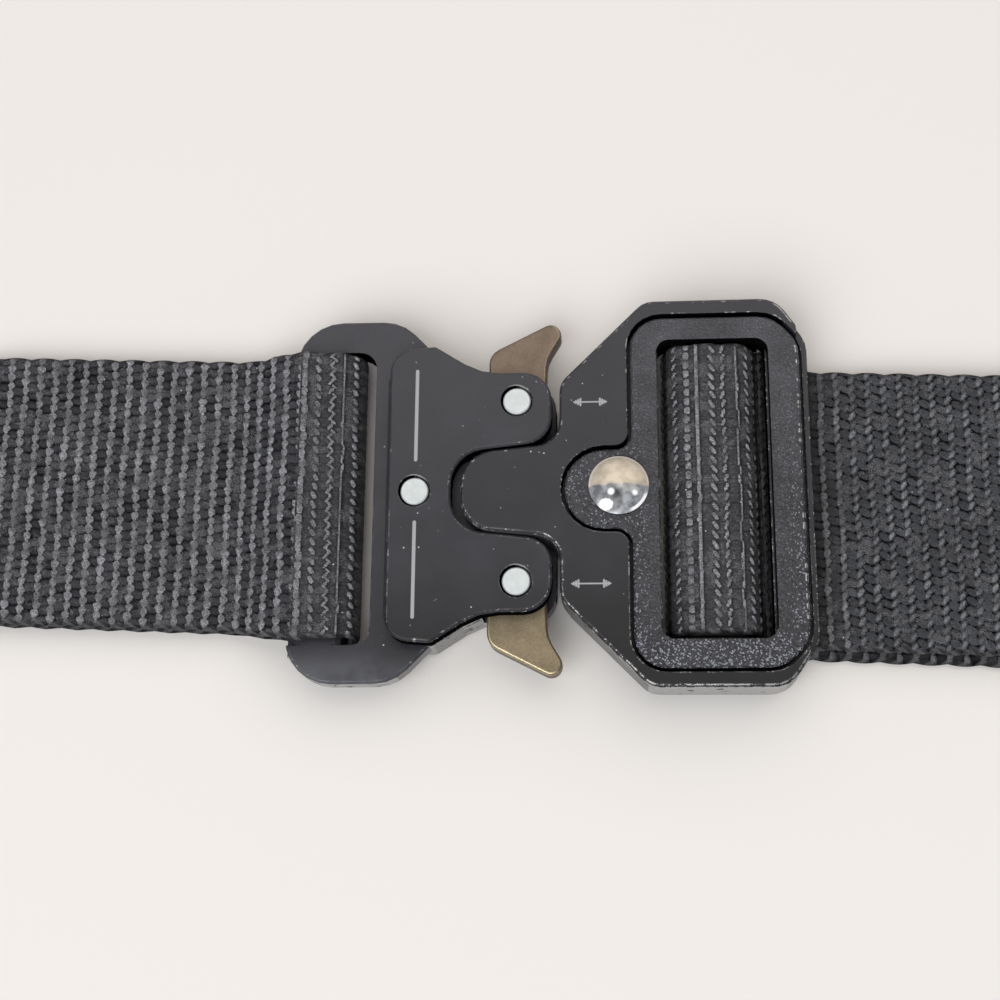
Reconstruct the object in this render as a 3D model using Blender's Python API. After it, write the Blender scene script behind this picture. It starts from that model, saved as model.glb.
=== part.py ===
"""Webbing belt with a quick buckle that two side levers release, lying as a closed loop.

Metres, +Z up. The buckle lies face up, centred on the Y=0 plane: the half with the two
levers is on the left (-X), the half with the adjuster slot on the right (+X). The strap lies
flat through the buckle and stands on its edge round the rest of the loop.
The sizes below are measured along X from the middle of the buckle. The part's origin is under
the middle of the lever half's deck, so everything hangs on an empty that is DATUM_SHIFT along.
"""
import math

import bpy
from mathutils import Vector

MM = 0.001
DATUM_SHIFT = 13.0 * MM
DATUM_NAME = "datum"

# Webbing
WEB_WIDTH = 38.5 * MM
WEB_THICK = 1.5 * MM
PLY_GAP = 0.3 * MM               # between two layers of webbing, and between any two pieces
SPREAD_WIDTH = 39.6 * MM         # where the webbing is pressed round a bar
LOBE_SPREAD_WIDTH = 40.2 * MM    # and where it lies over the lobes beside the left bar
STRAP_SLOPE = -0.04              # sideways drift of the strap for each metre along X

# Loop of the belt, seen from above
FRONT_HALF = 170 * MM            # half of the straight front
HIP_RADIUS = 50 * MM
HIP_TURN = math.radians(125)
TWIST_FROM = 88 * MM             # the strap starts to turn on edge this far from the middle
TWIST_LENGTH = 100 * MM
UNDERLAP_END = -78 * MM          # sewn end, under the strap on the left
TAIL_END = 84 * MM               # free end, on the strap on the right
LEFT_KNEE = -45.5 * MM           # the top layer has come down from the bar here
BAR_SIDE = 0.5 * MM              # sideways place of the webbing on the left bar
SLIDE_SIDE = 0.5 * MM            # and on the slide bar
LOWER_PLY_SHIFT = -1.1 * MM      # the ply under the tail lies this far sideways
UNDERLAP_MARGIN = 1.0 * MM       # past its end the strap above starts to settle
UNDERLAP_SHIFT = -0.1 * MM
FADE_LENGTH = 60 * MM            # the lower ply's shift fades out over this length
TAIL_FALL_ANGLE = math.radians(90)
TAIL_EASING_RADIUS = 1.5 * MM
TAIL_SETTLED = 33 * MM           # the tail reaches its own line and width here

# Heights in the lever half
DECK_TOP = 3.2 * MM              # floor of the cavity
LAYER_TOP = 6.3 * MM             # top of the levers and of the walls that carry the cover
COVER_BOTTOM = LAYER_TOP + PLY_GAP
BUCKLE_TOP = 9.0 * MM
LOBE_BOTTOM = 2.8 * MM
LOBE_TOP = LAYER_TOP
LEVER_BOTTOM = DECK_TOP + PLY_GAP
RUNNING_GAP = 0.4 * MM           # between the tongue and the deck
EDGE_CHAMFER = 0.3 * MM
LOBE_CHAMFER = 0.6 * MM
DECK_CHAMFER = 0.4 * MM
FINE_CHAMFER = 0.3 * MM          # on the insert, the tongue and the adjuster half's underside
LEVER_CHAMFER = 0.25 * MM
BEYOND = 1.0 * MM                # how far a cutting tool runs past a face

# Left bar, which the webbing wraps
BAR_BOTTOM = WEB_THICK + PLY_GAP
BAR_TOP = LOBE_TOP
BAR_RIGHT = -29.1 * MM
BAR_LEFT = -37.1 * MM
SLOT_RIGHT = -25.9 * MM
SLOT_HALF = 20.4 * MM
SLOT_CORNER = 2.4 * MM
SLOT_SIDE = 0.3 * MM             # sideways place of this slot and of the adjuster slot

# Cavity between deck and cover
CAVITY_LEFT = -18.6 * MM
CAVITY_CORNER = 1.5 * MM
CAVITY_HALF = 15.2 * MM
WALL_END = -11.0 * MM            # the side walls stop here, and the levers come out

# Rivets
RIVET_HEAD = 1.85 * MM
RIVET_SHANK = 1.2 * MM
RIVET_HEAD_DEPTH = 0.8 * MM
RIVET_CHAMFER = 0.15 * MM
RIVET_INSET = 0.1 * MM           # the heads lie this far below the plates' faces
CENTRE_RIVET_X = -20.0 * MM
PIVOT_X = -6.45 * MM
PIVOT_Y = 12.35 * MM
HOLE_CLEARANCE = 0.3 * MM

# Adjuster half
BODY_BOTTOM = 2.4 * MM
RUN_TOP = 2 * (WEB_THICK + PLY_GAP)   # two plies of webbing run under what lies above this
NOSE_RIGHT = 0.4 * MM            # nose and tongue, left of this, clear the deck
RUN_HALF = 23.4 * MM             # half width of the recess under the bar right of the slot
POCKET_FLOOR = 6.5 * MM
STRIP_TOP = 7.6 * MM             # the strip of body beyond the insert's right edge
STRIP_LEFT = 30.9 * MM
INSERT_BOTTOM = POCKET_FLOOR + PLY_GAP
INSERT_TOP = 8.9 * MM
GROOVE = 0.5 * MM                # open groove round the insert
INSERT_SLOT_LEFT = 12.2 * MM
INSERT_SLOT_RIGHT = 27.1 * MM
INSERT_SLOT_HALF = SLOT_HALF
INSERT_SLOT_CORNER = 1.8 * MM
BODY_SLOT_INSET = 0.25 * MM      # the body's slot is this much narrower on each side
BODY_SLOT_EASE = 0.4 * MM        # and this much longer at each end
BODY_SLOT_CORNER = 1.2 * MM
DOME_X = 7.0 * MM
DOME_RADIUS = 3.8 * MM
DOME_CROWN = 0.25 * MM           # radius of the small flat at its top
DOME_STEPS = 6
DOME_HEIGHT = 1.35 * MM
DOME_SHANK = 1.5 * MM
DOME_SHANK_END = 4.2 * MM

# Slide bar, hidden inside the webbing in the adjuster slot
SLIDE_LEFT_AXIS = 17.3 * MM
SLIDE_RIGHT_AXIS = 21.4 * MM
SLIDE_AXIS_Z = 4.35 * MM
SLIDE_RADIUS = 2.55 * MM
SLIDE_HALF = 19.3 * MM
SLIDE_TAB_HALF = 22.1 * MM
SLIDE_TAB_BOTTOM = 4.6 * MM
SLIDE_TAB_TOP = 5.7 * MM
CHANNEL_HALF = 22.5 * MM
CHANNEL_EASE = 0.4 * MM

# Half outlines, drawn for +Y and mirrored. Columns: x, y, corner radius, all in mm.
LOBE_CORNERS = (
    (-37.1, 25.3, 6.3),
    (-22.6, 25.2, 6.0),
    (-15.8, 18.2, 0.0),
    (-15.8, 10.0, 0.0),
)
COVER_CORNERS = (
    (-23.6, 19.9, 3.2),
    (-17.6, 20.4, 0.8),
    (-11.3, 16.4, 9.0),
    (-1.8, 16.4, 3.9),
    (-1.8, 6.75, 3.7),
    (-15.2, 5.2, 4.8),
)
DECK_CORNERS = (
    (-23.9, 19.9, 3.2),
    (-17.6, 20.4, 0.8),
    (-11.3, 16.4, 9.0),
    (-1.4, 16.4, 3.5),
)
MALE_CORNERS = (
    (-13.9, 5.1, 4.6),
    (-0.75, 6.4, 3.4),
    (-0.75, 14.75, 3.0),
    (10.7, 26.3, 3.0),
    (28.3, 26.35, 4.0),
    (32.3, 20.4, 4.0),
)
INSERT_CORNERS = (
    (-0.1, 5.4, 5.2),
    (8.75, 5.4, 2.2),
    (8.75, 23.85, 4.2),
    (27.7, 23.85, 4.6),
    (31.1, 20.3, 4.6),
)
# Head of the tongue, under the cover. The catch face lies beyond the sweep of the pawls.
TONGUE_CORNERS = (
    (-18.2, 5.6, 1.5),
    (-16.6, 7.6, 0.3),
    (-14.2, 5.0, 0.3),
    (-9.0, 5.0, 0.0),
)
# Upper lever, drawn whole. Columns: x, y, corner radius, all in mm.
LEVER_CORNERS = (
    (-12.0, 5.4, 0.4),
    (-9.9, 8.4, 1.5),
    (-2.9, 8.6, 3.2),
    (-2.5, 19.2, 4.8),
    (-0.25, 22.95, 1.4),
    (-1.75, 24.6, 1.4),
    (-10.45, 20.15, 2.4),
    (-10.35, 13.4, 1.2),
    (-14.6, 12.2, 1.6),
    (-15.3, 7.0, 1.0),
    (-13.9, 5.4, 0.4),
)

CORNER_STEPS = 6
ROUND_STEPS = 24
BAR_STEPS = 8
STRAP_STEP = 5.0 * MM
LOOP_STEP = 9.0 * MM
BEND_STEP = math.radians(15)
STATION_MERGE = 0.15 * MM


def material(name, colour, roughness, metallic):
    made = bpy.data.materials.new(name)
    made.use_nodes = True
    shader = made.node_tree.nodes["Principled BSDF"]
    shader.inputs["Base Color"].default_value = (*colour, 1.0)
    shader.inputs["Roughness"].default_value = roughness
    shader.inputs["Metallic"].default_value = metallic
    made.diffuse_color = (*colour, 1.0)
    return made


def fillet(before, corner, after, radius):
    """Points of the arc that rounds one corner of an outline."""
    here = Vector(corner)
    back = (Vector(before) - here).normalized()
    ahead = (Vector(after) - here).normalized()
    half_angle = back.angle(ahead) / 2
    if radius <= 0 or half_angle > math.radians(89):
        return [here]
    centre = here + (back + ahead).normalized() * radius / math.sin(half_angle)
    reach = radius / math.tan(half_angle)
    start = here + back * reach - centre
    end = here + ahead * reach - centre
    turn = start.angle_signed(end)
    steps = max(2, round(CORNER_STEPS * abs(turn) / (math.pi / 2)))
    points = []
    for step in range(steps + 1):
        angle = -turn * step / steps
        swung = Vector((
            start.x * math.cos(angle) - start.y * math.sin(angle),
            start.x * math.sin(angle) + start.y * math.cos(angle),
        ))
        points.append(centre + swung)
    return points


def rounded(corners):
    """Closed outline from (x, y, radius) rows in mm, as 2-D points in metres."""
    places = [Vector((x, y)) * MM for x, y, _ in corners]
    outline = []
    for index, (_, _, radius) in enumerate(corners):
        before = places[index - 1]
        after = places[(index + 1) % len(places)]
        outline.extend(fillet(before, places[index], after, radius * MM))
    return anticlockwise(outline)


def mirrored(half_corners):
    """Whole outline from the rows of its +Y half."""
    lower = [(x, -y, radius) for x, y, radius in reversed(half_corners)]
    return rounded(list(half_corners) + lower)


def box(x_low, x_high, y_low, y_high, corner=0.0):
    """Outline of a rectangle with rounded corners, sizes in metres."""
    left, right, near, far, radius = (value / MM for value in (x_low, x_high, y_low, y_high, corner))
    return rounded([
        (left, near, radius),
        (right, near, radius),
        (right, far, radius),
        (left, far, radius),
    ])


def rectangle(x_low, x_high, half_y, corner=0.0):
    """Outline of a rectangle that is centred on Y=0."""
    return box(x_low, x_high, -half_y, half_y, corner)


def circle(radius, steps=ROUND_STEPS, centre=(0.0, 0.0)):
    return [
        Vector((
            centre[0] + radius * math.cos(math.tau * step / steps),
            centre[1] + radius * math.sin(math.tau * step / steps),
        ))
        for step in range(steps)
    ]


def anticlockwise(outline):
    area = 0.0
    for here, after in zip(outline, outline[1:] + outline[:1]):
        area += here.x * after.y - after.x * here.y
    return outline if area > 0 else outline[::-1]


def grown(outline, distance):
    """Outline moved outward by distance, or inward where it is negative."""
    moved = []
    count = len(outline)
    for index, here in enumerate(outline):
        arrive = (here - outline[index - 1]).normalized()
        leave = (outline[(index + 1) % count] - here).normalized()
        normal_in = Vector((arrive.y, -arrive.x))
        normal_out = Vector((leave.y, -leave.x))
        bisector = (normal_in + normal_out).normalized()
        mitre = max(0.5, bisector.dot(normal_in))
        moved.append(here + bisector * distance / mitre)
    return moved


def mesh_object(name, verts, faces, look=None, origin=(0.0, 0.0, 0.0)):
    mesh = bpy.data.meshes.new(name)
    mesh.from_pydata([tuple(vert) for vert in verts], [], faces)
    mesh.validate()
    mesh.update()
    made = bpy.data.objects.new(name, mesh)
    made.location = origin
    made.parent = bpy.data.objects[DATUM_NAME]
    bpy.context.scene.collection.objects.link(made)
    if look:
        mesh.materials.append(look)
        mesh.shade_smooth()
        mesh.set_sharp_from_angle(angle=math.radians(30))
    return made


def prism(name, rings, look=None, origin=(0.0, 0.0, 0.0)):
    """Closed solid through (height, outline) rings of equal length, bottom ring first."""
    verts = []
    for height, outline in rings:
        verts.extend(Vector((point.x, point.y, height)) for point in outline)
    count = len(rings[0][1])
    faces = [tuple(range(count))[::-1]]
    for level in range(len(rings) - 1):
        base = level * count
        for index in range(count):
            after = (index + 1) % count
            faces.append((base + index, base + after, base + count + after, base + count + index))
    top = (len(rings) - 1) * count
    faces.append(tuple(range(top, top + count)))
    return mesh_object(name, verts, faces, look, origin)


def plate(name, outline, bottom, top, look, under=0.0, over=EDGE_CHAMFER, origin=(0.0, 0.0, 0.0)):
    """Flat plate with a chamfer round its lower and its upper edge."""
    rings = []
    if under:
        rings.append((bottom, grown(outline, -under)))
        rings.append((bottom + under, outline))
    else:
        rings.append((bottom, outline))
    if over:
        rings.append((top - over, outline))
        rings.append((top, grown(outline, -over)))
    else:
        rings.append((top, outline))
    return prism(name, rings, look, origin)


def hide(tool):
    tool.hide_render = True
    tool.display_type = 'WIRE'
    return tool


def combine(target, tool, operation):
    boolean = target.modifiers.new(tool.name, 'BOOLEAN')
    boolean.operation = operation
    boolean.solver = 'EXACT'
    boolean.object = hide(tool)


def cut(target, outline, bottom, top, label):
    """Cut a straight-sided hole or step out of target."""
    tool = prism(f"cut_{target.name}_{label}", [(bottom, outline), (top, outline)])
    combine(target, tool, 'DIFFERENCE')


def fuse(target, tool):
    combine(target, tool, 'UNION')


def lathe(name, profile, look, place, steps=ROUND_STEPS):
    """Turned solid on a vertical axis; profile rows are (radius, height), bottom to top."""
    rings = [(height, circle(radius, steps)) for radius, height in profile]
    return prism(name, rings, look, (place[0], place[1], 0.0))


def make_materials():
    return {
        'webbing': material("black_webbing", (0.032, 0.032, 0.036), 0.85, 0.0),
        'plate': material("black_plate", (0.045, 0.045, 0.048), 0.42, 0.6),
        'insert': material("black_insert", (0.060, 0.060, 0.063), 0.6, 0.5),
        'brass': material("brass", (0.50, 0.36, 0.17), 0.38, 1.0),
        'rivet': material("rivet_steel", (0.78, 0.79, 0.80), 0.3, 1.0),
        'chrome': material("chrome", (0.80, 0.80, 0.80), 0.08, 1.0),
        'steel': material("slide_steel", (0.35, 0.35, 0.36), 0.4, 1.0),
    }


def make_female_base(looks):
    """Lower shell of the lever half: lobed end, bar, block, side walls and deck."""
    deck_outline = mirrored(DECK_CORNERS)
    base = plate("female_base", deck_outline, 0.0, LAYER_TOP, looks['plate'], DECK_CHAMFER, 0.0)
    lobes = plate("tool_lobes", mirrored(LOBE_CORNERS), LOBE_BOTTOM, LOBE_TOP, None,
                  LOBE_CHAMFER)
    fuse(base, lobes)
    window = box(BAR_LEFT - SLOT_CORNER - BEYOND, SLOT_RIGHT, SLOT_SIDE - SLOT_HALF,
                 SLOT_SIDE + SLOT_HALF, SLOT_CORNER)
    cut(base, window, -BEYOND, LAYER_TOP + BEYOND, "window")
    bar_radius = (BAR_TOP - BAR_BOTTOM) / 2
    bar = round_bar("tool_bar", BAR_LEFT + bar_radius, BAR_RIGHT - bar_radius,
                    BAR_BOTTOM + bar_radius, bar_radius, SLOT_HALF + BEYOND)
    fuse(base, bar)
    inside = rectangle(CAVITY_LEFT, BEYOND, CAVITY_HALF, CAVITY_CORNER)
    cut(base, inside, DECK_TOP, LAYER_TOP + BEYOND, "cavity")
    mouth = rectangle(WALL_END, BEYOND, PIVOT_Y * 2)
    cut(base, mouth, DECK_TOP, LAYER_TOP + BEYOND, "mouth")
    for label, place in rivet_places().items():
        rivet_seat(base, place, 0.0, LAYER_TOP, label, head_below=True)
    return base


def make_female_cover(looks):
    """Cover plate with the recess for the nose between two ears."""
    cover = plate("female_cover", mirrored(COVER_CORNERS), COVER_BOTTOM, BUCKLE_TOP, looks['plate'])
    for label, place in rivet_places().items():
        rivet_seat(cover, place, COVER_BOTTOM, BUCKLE_TOP, label, head_below=False)
    return cover


def rivet_places():
    return {
        'centre': (CENTRE_RIVET_X, 0.0),
        'upper': (PIVOT_X, PIVOT_Y),
        'lower': (PIVOT_X, -PIVOT_Y),
    }


def rivet_seat(target, place, bottom, top, label, head_below):
    """Shank hole through target, and the counterbore of one head."""
    hole = circle(RIVET_SHANK + HOLE_CLEARANCE, centre=place)
    cut(target, hole, bottom - BEYOND, top + BEYOND, f"{label}_hole")
    depth = RIVET_HEAD_DEPTH + HOLE_CLEARANCE + RIVET_INSET
    seat = circle(RIVET_HEAD + HOLE_CLEARANCE, centre=place)
    if head_below:
        cut(target, seat, bottom - BEYOND, bottom + depth, f"{label}_head")
    else:
        cut(target, seat, top - depth, top + BEYOND, f"{label}_head")


def make_rivet(name, place, looks):
    """Rivet with a flat head at each end, just below the plates' faces."""
    low = RIVET_INSET
    high = BUCKLE_TOP - RIVET_INSET
    rim = RIVET_HEAD - RIVET_CHAMFER
    profile = (
        (rim, low),
        (RIVET_HEAD, low + RIVET_CHAMFER),
        (RIVET_HEAD, low + RIVET_HEAD_DEPTH),
        (RIVET_SHANK, low + RIVET_HEAD_DEPTH),
        (RIVET_SHANK, high - RIVET_HEAD_DEPTH),
        (RIVET_HEAD, high - RIVET_HEAD_DEPTH),
        (RIVET_HEAD, high - RIVET_CHAMFER),
        (rim, high),
    )
    return lathe(name, profile, looks['rivet'], place)


def make_lever(name, side, looks):
    """Release lever: finger wing outside, pawl inside, origin on its pivot."""
    outline = [
        Vector((point.x - PIVOT_X, side * (point.y - PIVOT_Y)))
        for point in rounded(LEVER_CORNERS)
    ]
    outline = anticlockwise(outline)
    lever = plate(name, outline, LEVER_BOTTOM, LAYER_TOP, looks['brass'],
                  LEVER_CHAMFER, LEVER_CHAMFER, (PIVOT_X, side * PIVOT_Y, 0.0))
    tool = prism(f"cut_{name}_pivot", [
        (0.0, circle(RIVET_SHANK + HOLE_CLEARANCE)),
        (BUCKLE_TOP, circle(RIVET_SHANK + HOLE_CLEARANCE)),
    ], origin=(PIVOT_X, side * PIVOT_Y, 0.0))
    combine(lever, tool, 'DIFFERENCE')
    return lever


def make_male_body(looks):
    """Adjuster half: nose, tongue, and a frame with a pocket and a slot."""
    body = plate("male_body", mirrored(MALE_CORNERS), BODY_BOTTOM, BUCKLE_TOP, looks['plate'],
                 FINE_CHAMFER)
    right = MALE_CORNERS[-1][0] * MM + BEYOND
    side = MALE_CORNERS[-2][1] * MM + BEYOND
    cut(body, rectangle(MALE_CORNERS[0][0] * MM - BEYOND, NOSE_RIGHT, side), 0.0,
        DECK_TOP + RUNNING_GAP, "under_nose")
    cut(body, rectangle(INSERT_SLOT_RIGHT - BEYOND, right, RUN_HALF), 0.0, RUN_TOP, "under_bar")
    tongue = plate("tool_tongue", mirrored(TONGUE_CORNERS), DECK_TOP + RUNNING_GAP, LAYER_TOP,
                   None, 0.0, FINE_CHAMFER)
    fuse(body, tongue)
    pocket = grown(mirrored(INSERT_CORNERS), GROOVE)
    cut(body, pocket, POCKET_FLOOR, BUCKLE_TOP + BEYOND, "pocket")
    strip = rectangle(STRIP_LEFT, right, side)
    cut(body, strip, STRIP_TOP, BUCKLE_TOP + BEYOND, "strip")
    half = INSERT_SLOT_HALF + BODY_SLOT_EASE
    slot = box(INSERT_SLOT_LEFT + BODY_SLOT_INSET, INSERT_SLOT_RIGHT - BODY_SLOT_INSET,
               SLOT_SIDE - half, SLOT_SIDE + half, BODY_SLOT_CORNER)
    cut(body, slot, 0.0, BUCKLE_TOP, "slot")
    channel = rectangle(SLIDE_LEFT_AXIS - SLIDE_RADIUS - CHANNEL_EASE,
                        SLIDE_RIGHT_AXIS + SLIDE_RADIUS + CHANNEL_EASE, CHANNEL_HALF)
    cut(body, channel, SLIDE_TAB_BOTTOM - PLY_GAP, SLIDE_TAB_TOP + PLY_GAP, "channel")
    shank = circle(DOME_SHANK + HOLE_CLEARANCE, centre=(DOME_X, 0.0))
    cut(body, shank, 0.0, BUCKLE_TOP, "dome_hole")
    return body


def make_male_insert(looks):
    """Textured frame that lies in the pocket, with a round tab and the adjuster slot."""
    insert = plate("male_insert", mirrored(INSERT_CORNERS), INSERT_BOTTOM, INSERT_TOP,
                   looks['insert'], 0.0, FINE_CHAMFER)
    slot = box(INSERT_SLOT_LEFT, INSERT_SLOT_RIGHT, SLOT_SIDE - INSERT_SLOT_HALF,
               SLOT_SIDE + INSERT_SLOT_HALF, INSERT_SLOT_CORNER)
    cut(insert, slot, 0.0, BUCKLE_TOP, "slot")
    shank = circle(DOME_SHANK + HOLE_CLEARANCE, centre=(DOME_X, 0.0))
    cut(insert, shank, 0.0, BUCKLE_TOP, "dome_hole")
    return insert


def make_dome_rivet(looks):
    """Domed rivet on the insert's tab; its shank ends inside the body."""
    seat = INSERT_TOP + PLY_GAP
    ball = (DOME_RADIUS ** 2 + DOME_HEIGHT ** 2) / (2 * DOME_HEIGHT)
    profile = [(DOME_SHANK, DOME_SHANK_END), (DOME_SHANK, seat)]
    widest = math.asin(DOME_RADIUS / ball)
    for step in range(DOME_STEPS):
        angle = widest * (1 - step / DOME_STEPS)
        profile.append((ball * math.sin(angle), seat + ball * math.cos(angle) - ball + DOME_HEIGHT))
    profile.append((DOME_CROWN, seat + DOME_HEIGHT))
    return lathe("dome_rivet", profile, looks['chrome'], (DOME_X, 0.0))


def round_bar(name, left_axis, right_axis, axis_z, radius, half_length, look=None):
    """Bar along Y with half-round edges at its left and its right."""
    section = []
    for axis, start in ((right_axis, -math.pi / 2), (left_axis, math.pi / 2)):
        for step in range(BAR_STEPS + 1):
            angle = start + math.pi * step / BAR_STEPS
            section.append((axis + radius * math.cos(angle), axis_z + radius * math.sin(angle)))
    count = len(section)
    verts = [(x, side * half_length, z) for side in (-1, 1) for x, z in section]
    faces = [tuple(range(count)), tuple(range(count, 2 * count))[::-1]]
    for index in range(count):
        after = (index + 1) % count
        faces.append((after, index, index + count, after + count))
    return mesh_object(name, verts, faces, look)


def make_slide_bar(looks):
    """Round-edged bar across the slot, with a tab at each end in the body's channels."""
    bar = round_bar("slide_bar", SLIDE_LEFT_AXIS, SLIDE_RIGHT_AXIS, SLIDE_AXIS_Z, SLIDE_RADIUS,
                    SLIDE_HALF, looks['steel'])
    tab = rectangle(SLIDE_LEFT_AXIS - SLIDE_RADIUS / 2, SLIDE_RIGHT_AXIS + SLIDE_RADIUS / 2,
                    SLIDE_TAB_HALF)
    fuse(bar, prism("tool_tabs", [(SLIDE_TAB_BOTTOM, tab), (SLIDE_TAB_TOP, tab)]))
    return bar


def drift(x):
    """Sideways place of the strap's middle, which drifts slightly across the buckle."""
    return STRAP_SLOPE * x


def ease(value):
    value = min(1.0, max(0.0, value))
    return value * value * (3 - 2 * value)


def level(x_from, x_to, height):
    """Level run of (x, z, heading) places on the strap's middle line, seen from the side."""
    count = max(1, round(abs(x_to - x_from) / STRAP_STEP))
    heading = 0.0 if x_to > x_from else math.pi
    return [(x_from + (x_to - x_from) * i / count, height, heading) for i in range(count + 1)]


def bend(centre, radius, start, end):
    """Run round a bar, from angle start to angle end about centre."""
    count = max(2, round(abs(end - start) / BEND_STEP))
    turned = math.copysign(math.pi / 2, end - start)
    run = []
    for i in range(count + 1):
        angle = start + (end - start) * i / count
        run.append((centre[0] + radius * math.cos(angle),
                    centre[1] + radius * math.sin(angle), angle + turned))
    return run


def ramp(x_from, x_to, z_from, z_to, count=8):
    """Smooth step in height between two level runs."""
    run = []
    for i in range(count + 1):
        share = i / count
        climb = (z_to - z_from) * 6 * share * (1 - share)
        run.append((x_from + (x_to - x_from) * share, z_from + (z_to - z_from) * ease(share),
                    math.atan2(climb, x_to - x_from) % math.tau))
    return run


def dress(run, sides, widths=(WEB_WIDTH, WEB_WIDTH)):
    """Stations of a run: middle, direction of the width, normal, width.

    The sideways place and the width change evenly along the run.
    """
    stations = []
    last = len(run) - 1
    for i, (x, z, heading) in enumerate(run):
        share = i / last
        side = sides[0] + (sides[1] - sides[0]) * share
        width = widths[0] + (widths[1] - widths[0]) * share
        normal = Vector((-math.sin(heading), 0.0, math.cos(heading)))
        stations.append((Vector((x, side, z)), Vector((0.0, 1.0, 0.0)), normal, width))
    return stations


def lever_end_stations():
    """Sewn underlap, wrap round the left bar, and the strap on top of them."""
    low = WEB_THICK / 2
    second = low + WEB_THICK + PLY_GAP
    high = BAR_TOP + PLY_GAP + WEB_THICK / 2
    radius = (high - low) / 2
    axis = (BAR_RIGHT + PLY_GAP + WEB_THICK / 2 - radius, (high + low) / 2)
    wide = (SPREAD_WIDTH, SPREAD_WIDTH)
    drop = UNDERLAP_END - UNDERLAP_MARGIN
    under = dress(level(UNDERLAP_END, LEFT_KNEE, low),
                  (drift(UNDERLAP_END) + UNDERLAP_SHIFT, drift(LEFT_KNEE) + UNDERLAP_SHIFT))
    entry = dress(level(LEFT_KNEE, axis[0], low),
                  (drift(LEFT_KNEE) + UNDERLAP_SHIFT, BAR_SIDE), (WEB_WIDTH, SPREAD_WIDTH))
    wrap = dress(bend(axis, radius, -math.pi / 2, math.pi / 2), (BAR_SIDE, BAR_SIDE), wide)
    brow = BAR_LEFT + (BAR_TOP - BAR_BOTTOM) / 2
    over = dress(level(axis[0], brow, high), (BAR_SIDE, BAR_SIDE),
                 (SPREAD_WIDTH, LOBE_SPREAD_WIDTH))
    fall = dress(ramp(brow, LEFT_KNEE, high, second), (BAR_SIDE, drift(LEFT_KNEE)),
                 (LOBE_SPREAD_WIDTH, WEB_WIDTH))
    top = dress(level(LEFT_KNEE, drop, second), (drift(LEFT_KNEE), drift(drop)))
    settle = dress(ramp(drop, -TWIST_FROM, second, low, 4), (drift(drop), drift(-TWIST_FROM)))
    return under + entry + wrap + over + fall + top + settle


def adjuster_end_stations():
    """Lower ply from the right, wrap round the slide bar, and the free tail on top."""
    low = WEB_THICK / 2
    second = low + WEB_THICK + PLY_GAP
    radius = SLIDE_RADIUS + PLY_GAP + WEB_THICK / 2
    left_axis = (SLIDE_LEFT_AXIS, SLIDE_AXIS_Z)
    right_axis = (SLIDE_RIGHT_AXIS, SLIDE_AXIS_Z)
    fall = TAIL_FALL_ANGLE
    easing = TAIL_EASING_RADIUS
    slant = (SLIDE_AXIS_Z + (radius + easing) * math.cos(fall) - easing - second) / math.sin(fall)
    level_x = SLIDE_RIGHT_AXIS + (radius + easing) * math.sin(fall) + slant * math.cos(fall)
    wide = (SPREAD_WIDTH, SPREAD_WIDTH)
    entry_x = INSERT_SLOT_RIGHT
    lower = dress(level(TWIST_FROM, entry_x, low),
                  (drift(TWIST_FROM) + LOWER_PLY_SHIFT, drift(entry_x) + LOWER_PLY_SHIFT))
    entry = dress(level(entry_x, SLIDE_LEFT_AXIS, low),
                  (drift(entry_x) + LOWER_PLY_SHIFT, SLIDE_SIDE), (WEB_WIDTH, SPREAD_WIDTH))
    wrap = dress(bend(left_axis, radius, -math.pi / 2, -math.pi * 1.5),
                 (SLIDE_SIDE, SLIDE_SIDE), wide)
    over = dress(level(SLIDE_LEFT_AXIS, SLIDE_RIGHT_AXIS, SLIDE_AXIS_Z + radius),
                 (SLIDE_SIDE, SLIDE_SIDE), wide)
    down = bend(right_axis, radius, math.pi / 2, math.pi / 2 - fall)
    down += bend((level_x, second + easing), easing, -math.pi / 2 - fall, -math.pi / 2)
    down = dress(down, (SLIDE_SIDE, SLIDE_SIDE), wide)
    settling = dress(level(level_x, TAIL_SETTLED, second), (SLIDE_SIDE, drift(TAIL_SETTLED)),
                     (SPREAD_WIDTH, WEB_WIDTH))
    tail = dress(level(TAIL_SETTLED, TAIL_END, second), (drift(TAIL_SETTLED), drift(TAIL_END)))
    return lower + entry + wrap + over + down + settling + tail


def loop_stations():
    """Left front, hip, back, hip and right front, with the strap turning on edge and back."""
    back_radius = HIP_RADIUS + FRONT_HALF / math.sin(HIP_TURN)
    back_turn = math.tau - 2 * HIP_TURN
    front_run = FRONT_HALF - TWIST_FROM
    runs = (
        (front_run, 0.0),
        (HIP_RADIUS * HIP_TURN, 1 / HIP_RADIUS),
        (back_radius * back_turn, 1 / back_radius),
        (HIP_RADIUS * HIP_TURN, 1 / HIP_RADIUS),
        (front_run, 0.0),
    )
    whole = sum(length for length, _ in runs)
    heading = math.pi + math.atan(STRAP_SLOPE)
    place = Vector((-TWIST_FROM, drift(-TWIST_FROM)))
    travelled = 0.0
    stations = []
    for length, curvature in runs:
        count = max(1, round(length / LOOP_STEP))
        stretch = length / count
        for _ in range(count):
            stations.append(loop_station(place, heading, travelled, whole - travelled))
            middle = heading - curvature * stretch / 2
            chord = stretch
            if curvature:
                chord = 2 / curvature * math.sin(curvature * stretch / 2)
            place = place + Vector((math.cos(middle), math.sin(middle))) * chord
            heading -= curvature * stretch
            travelled += stretch
    return stations


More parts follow.
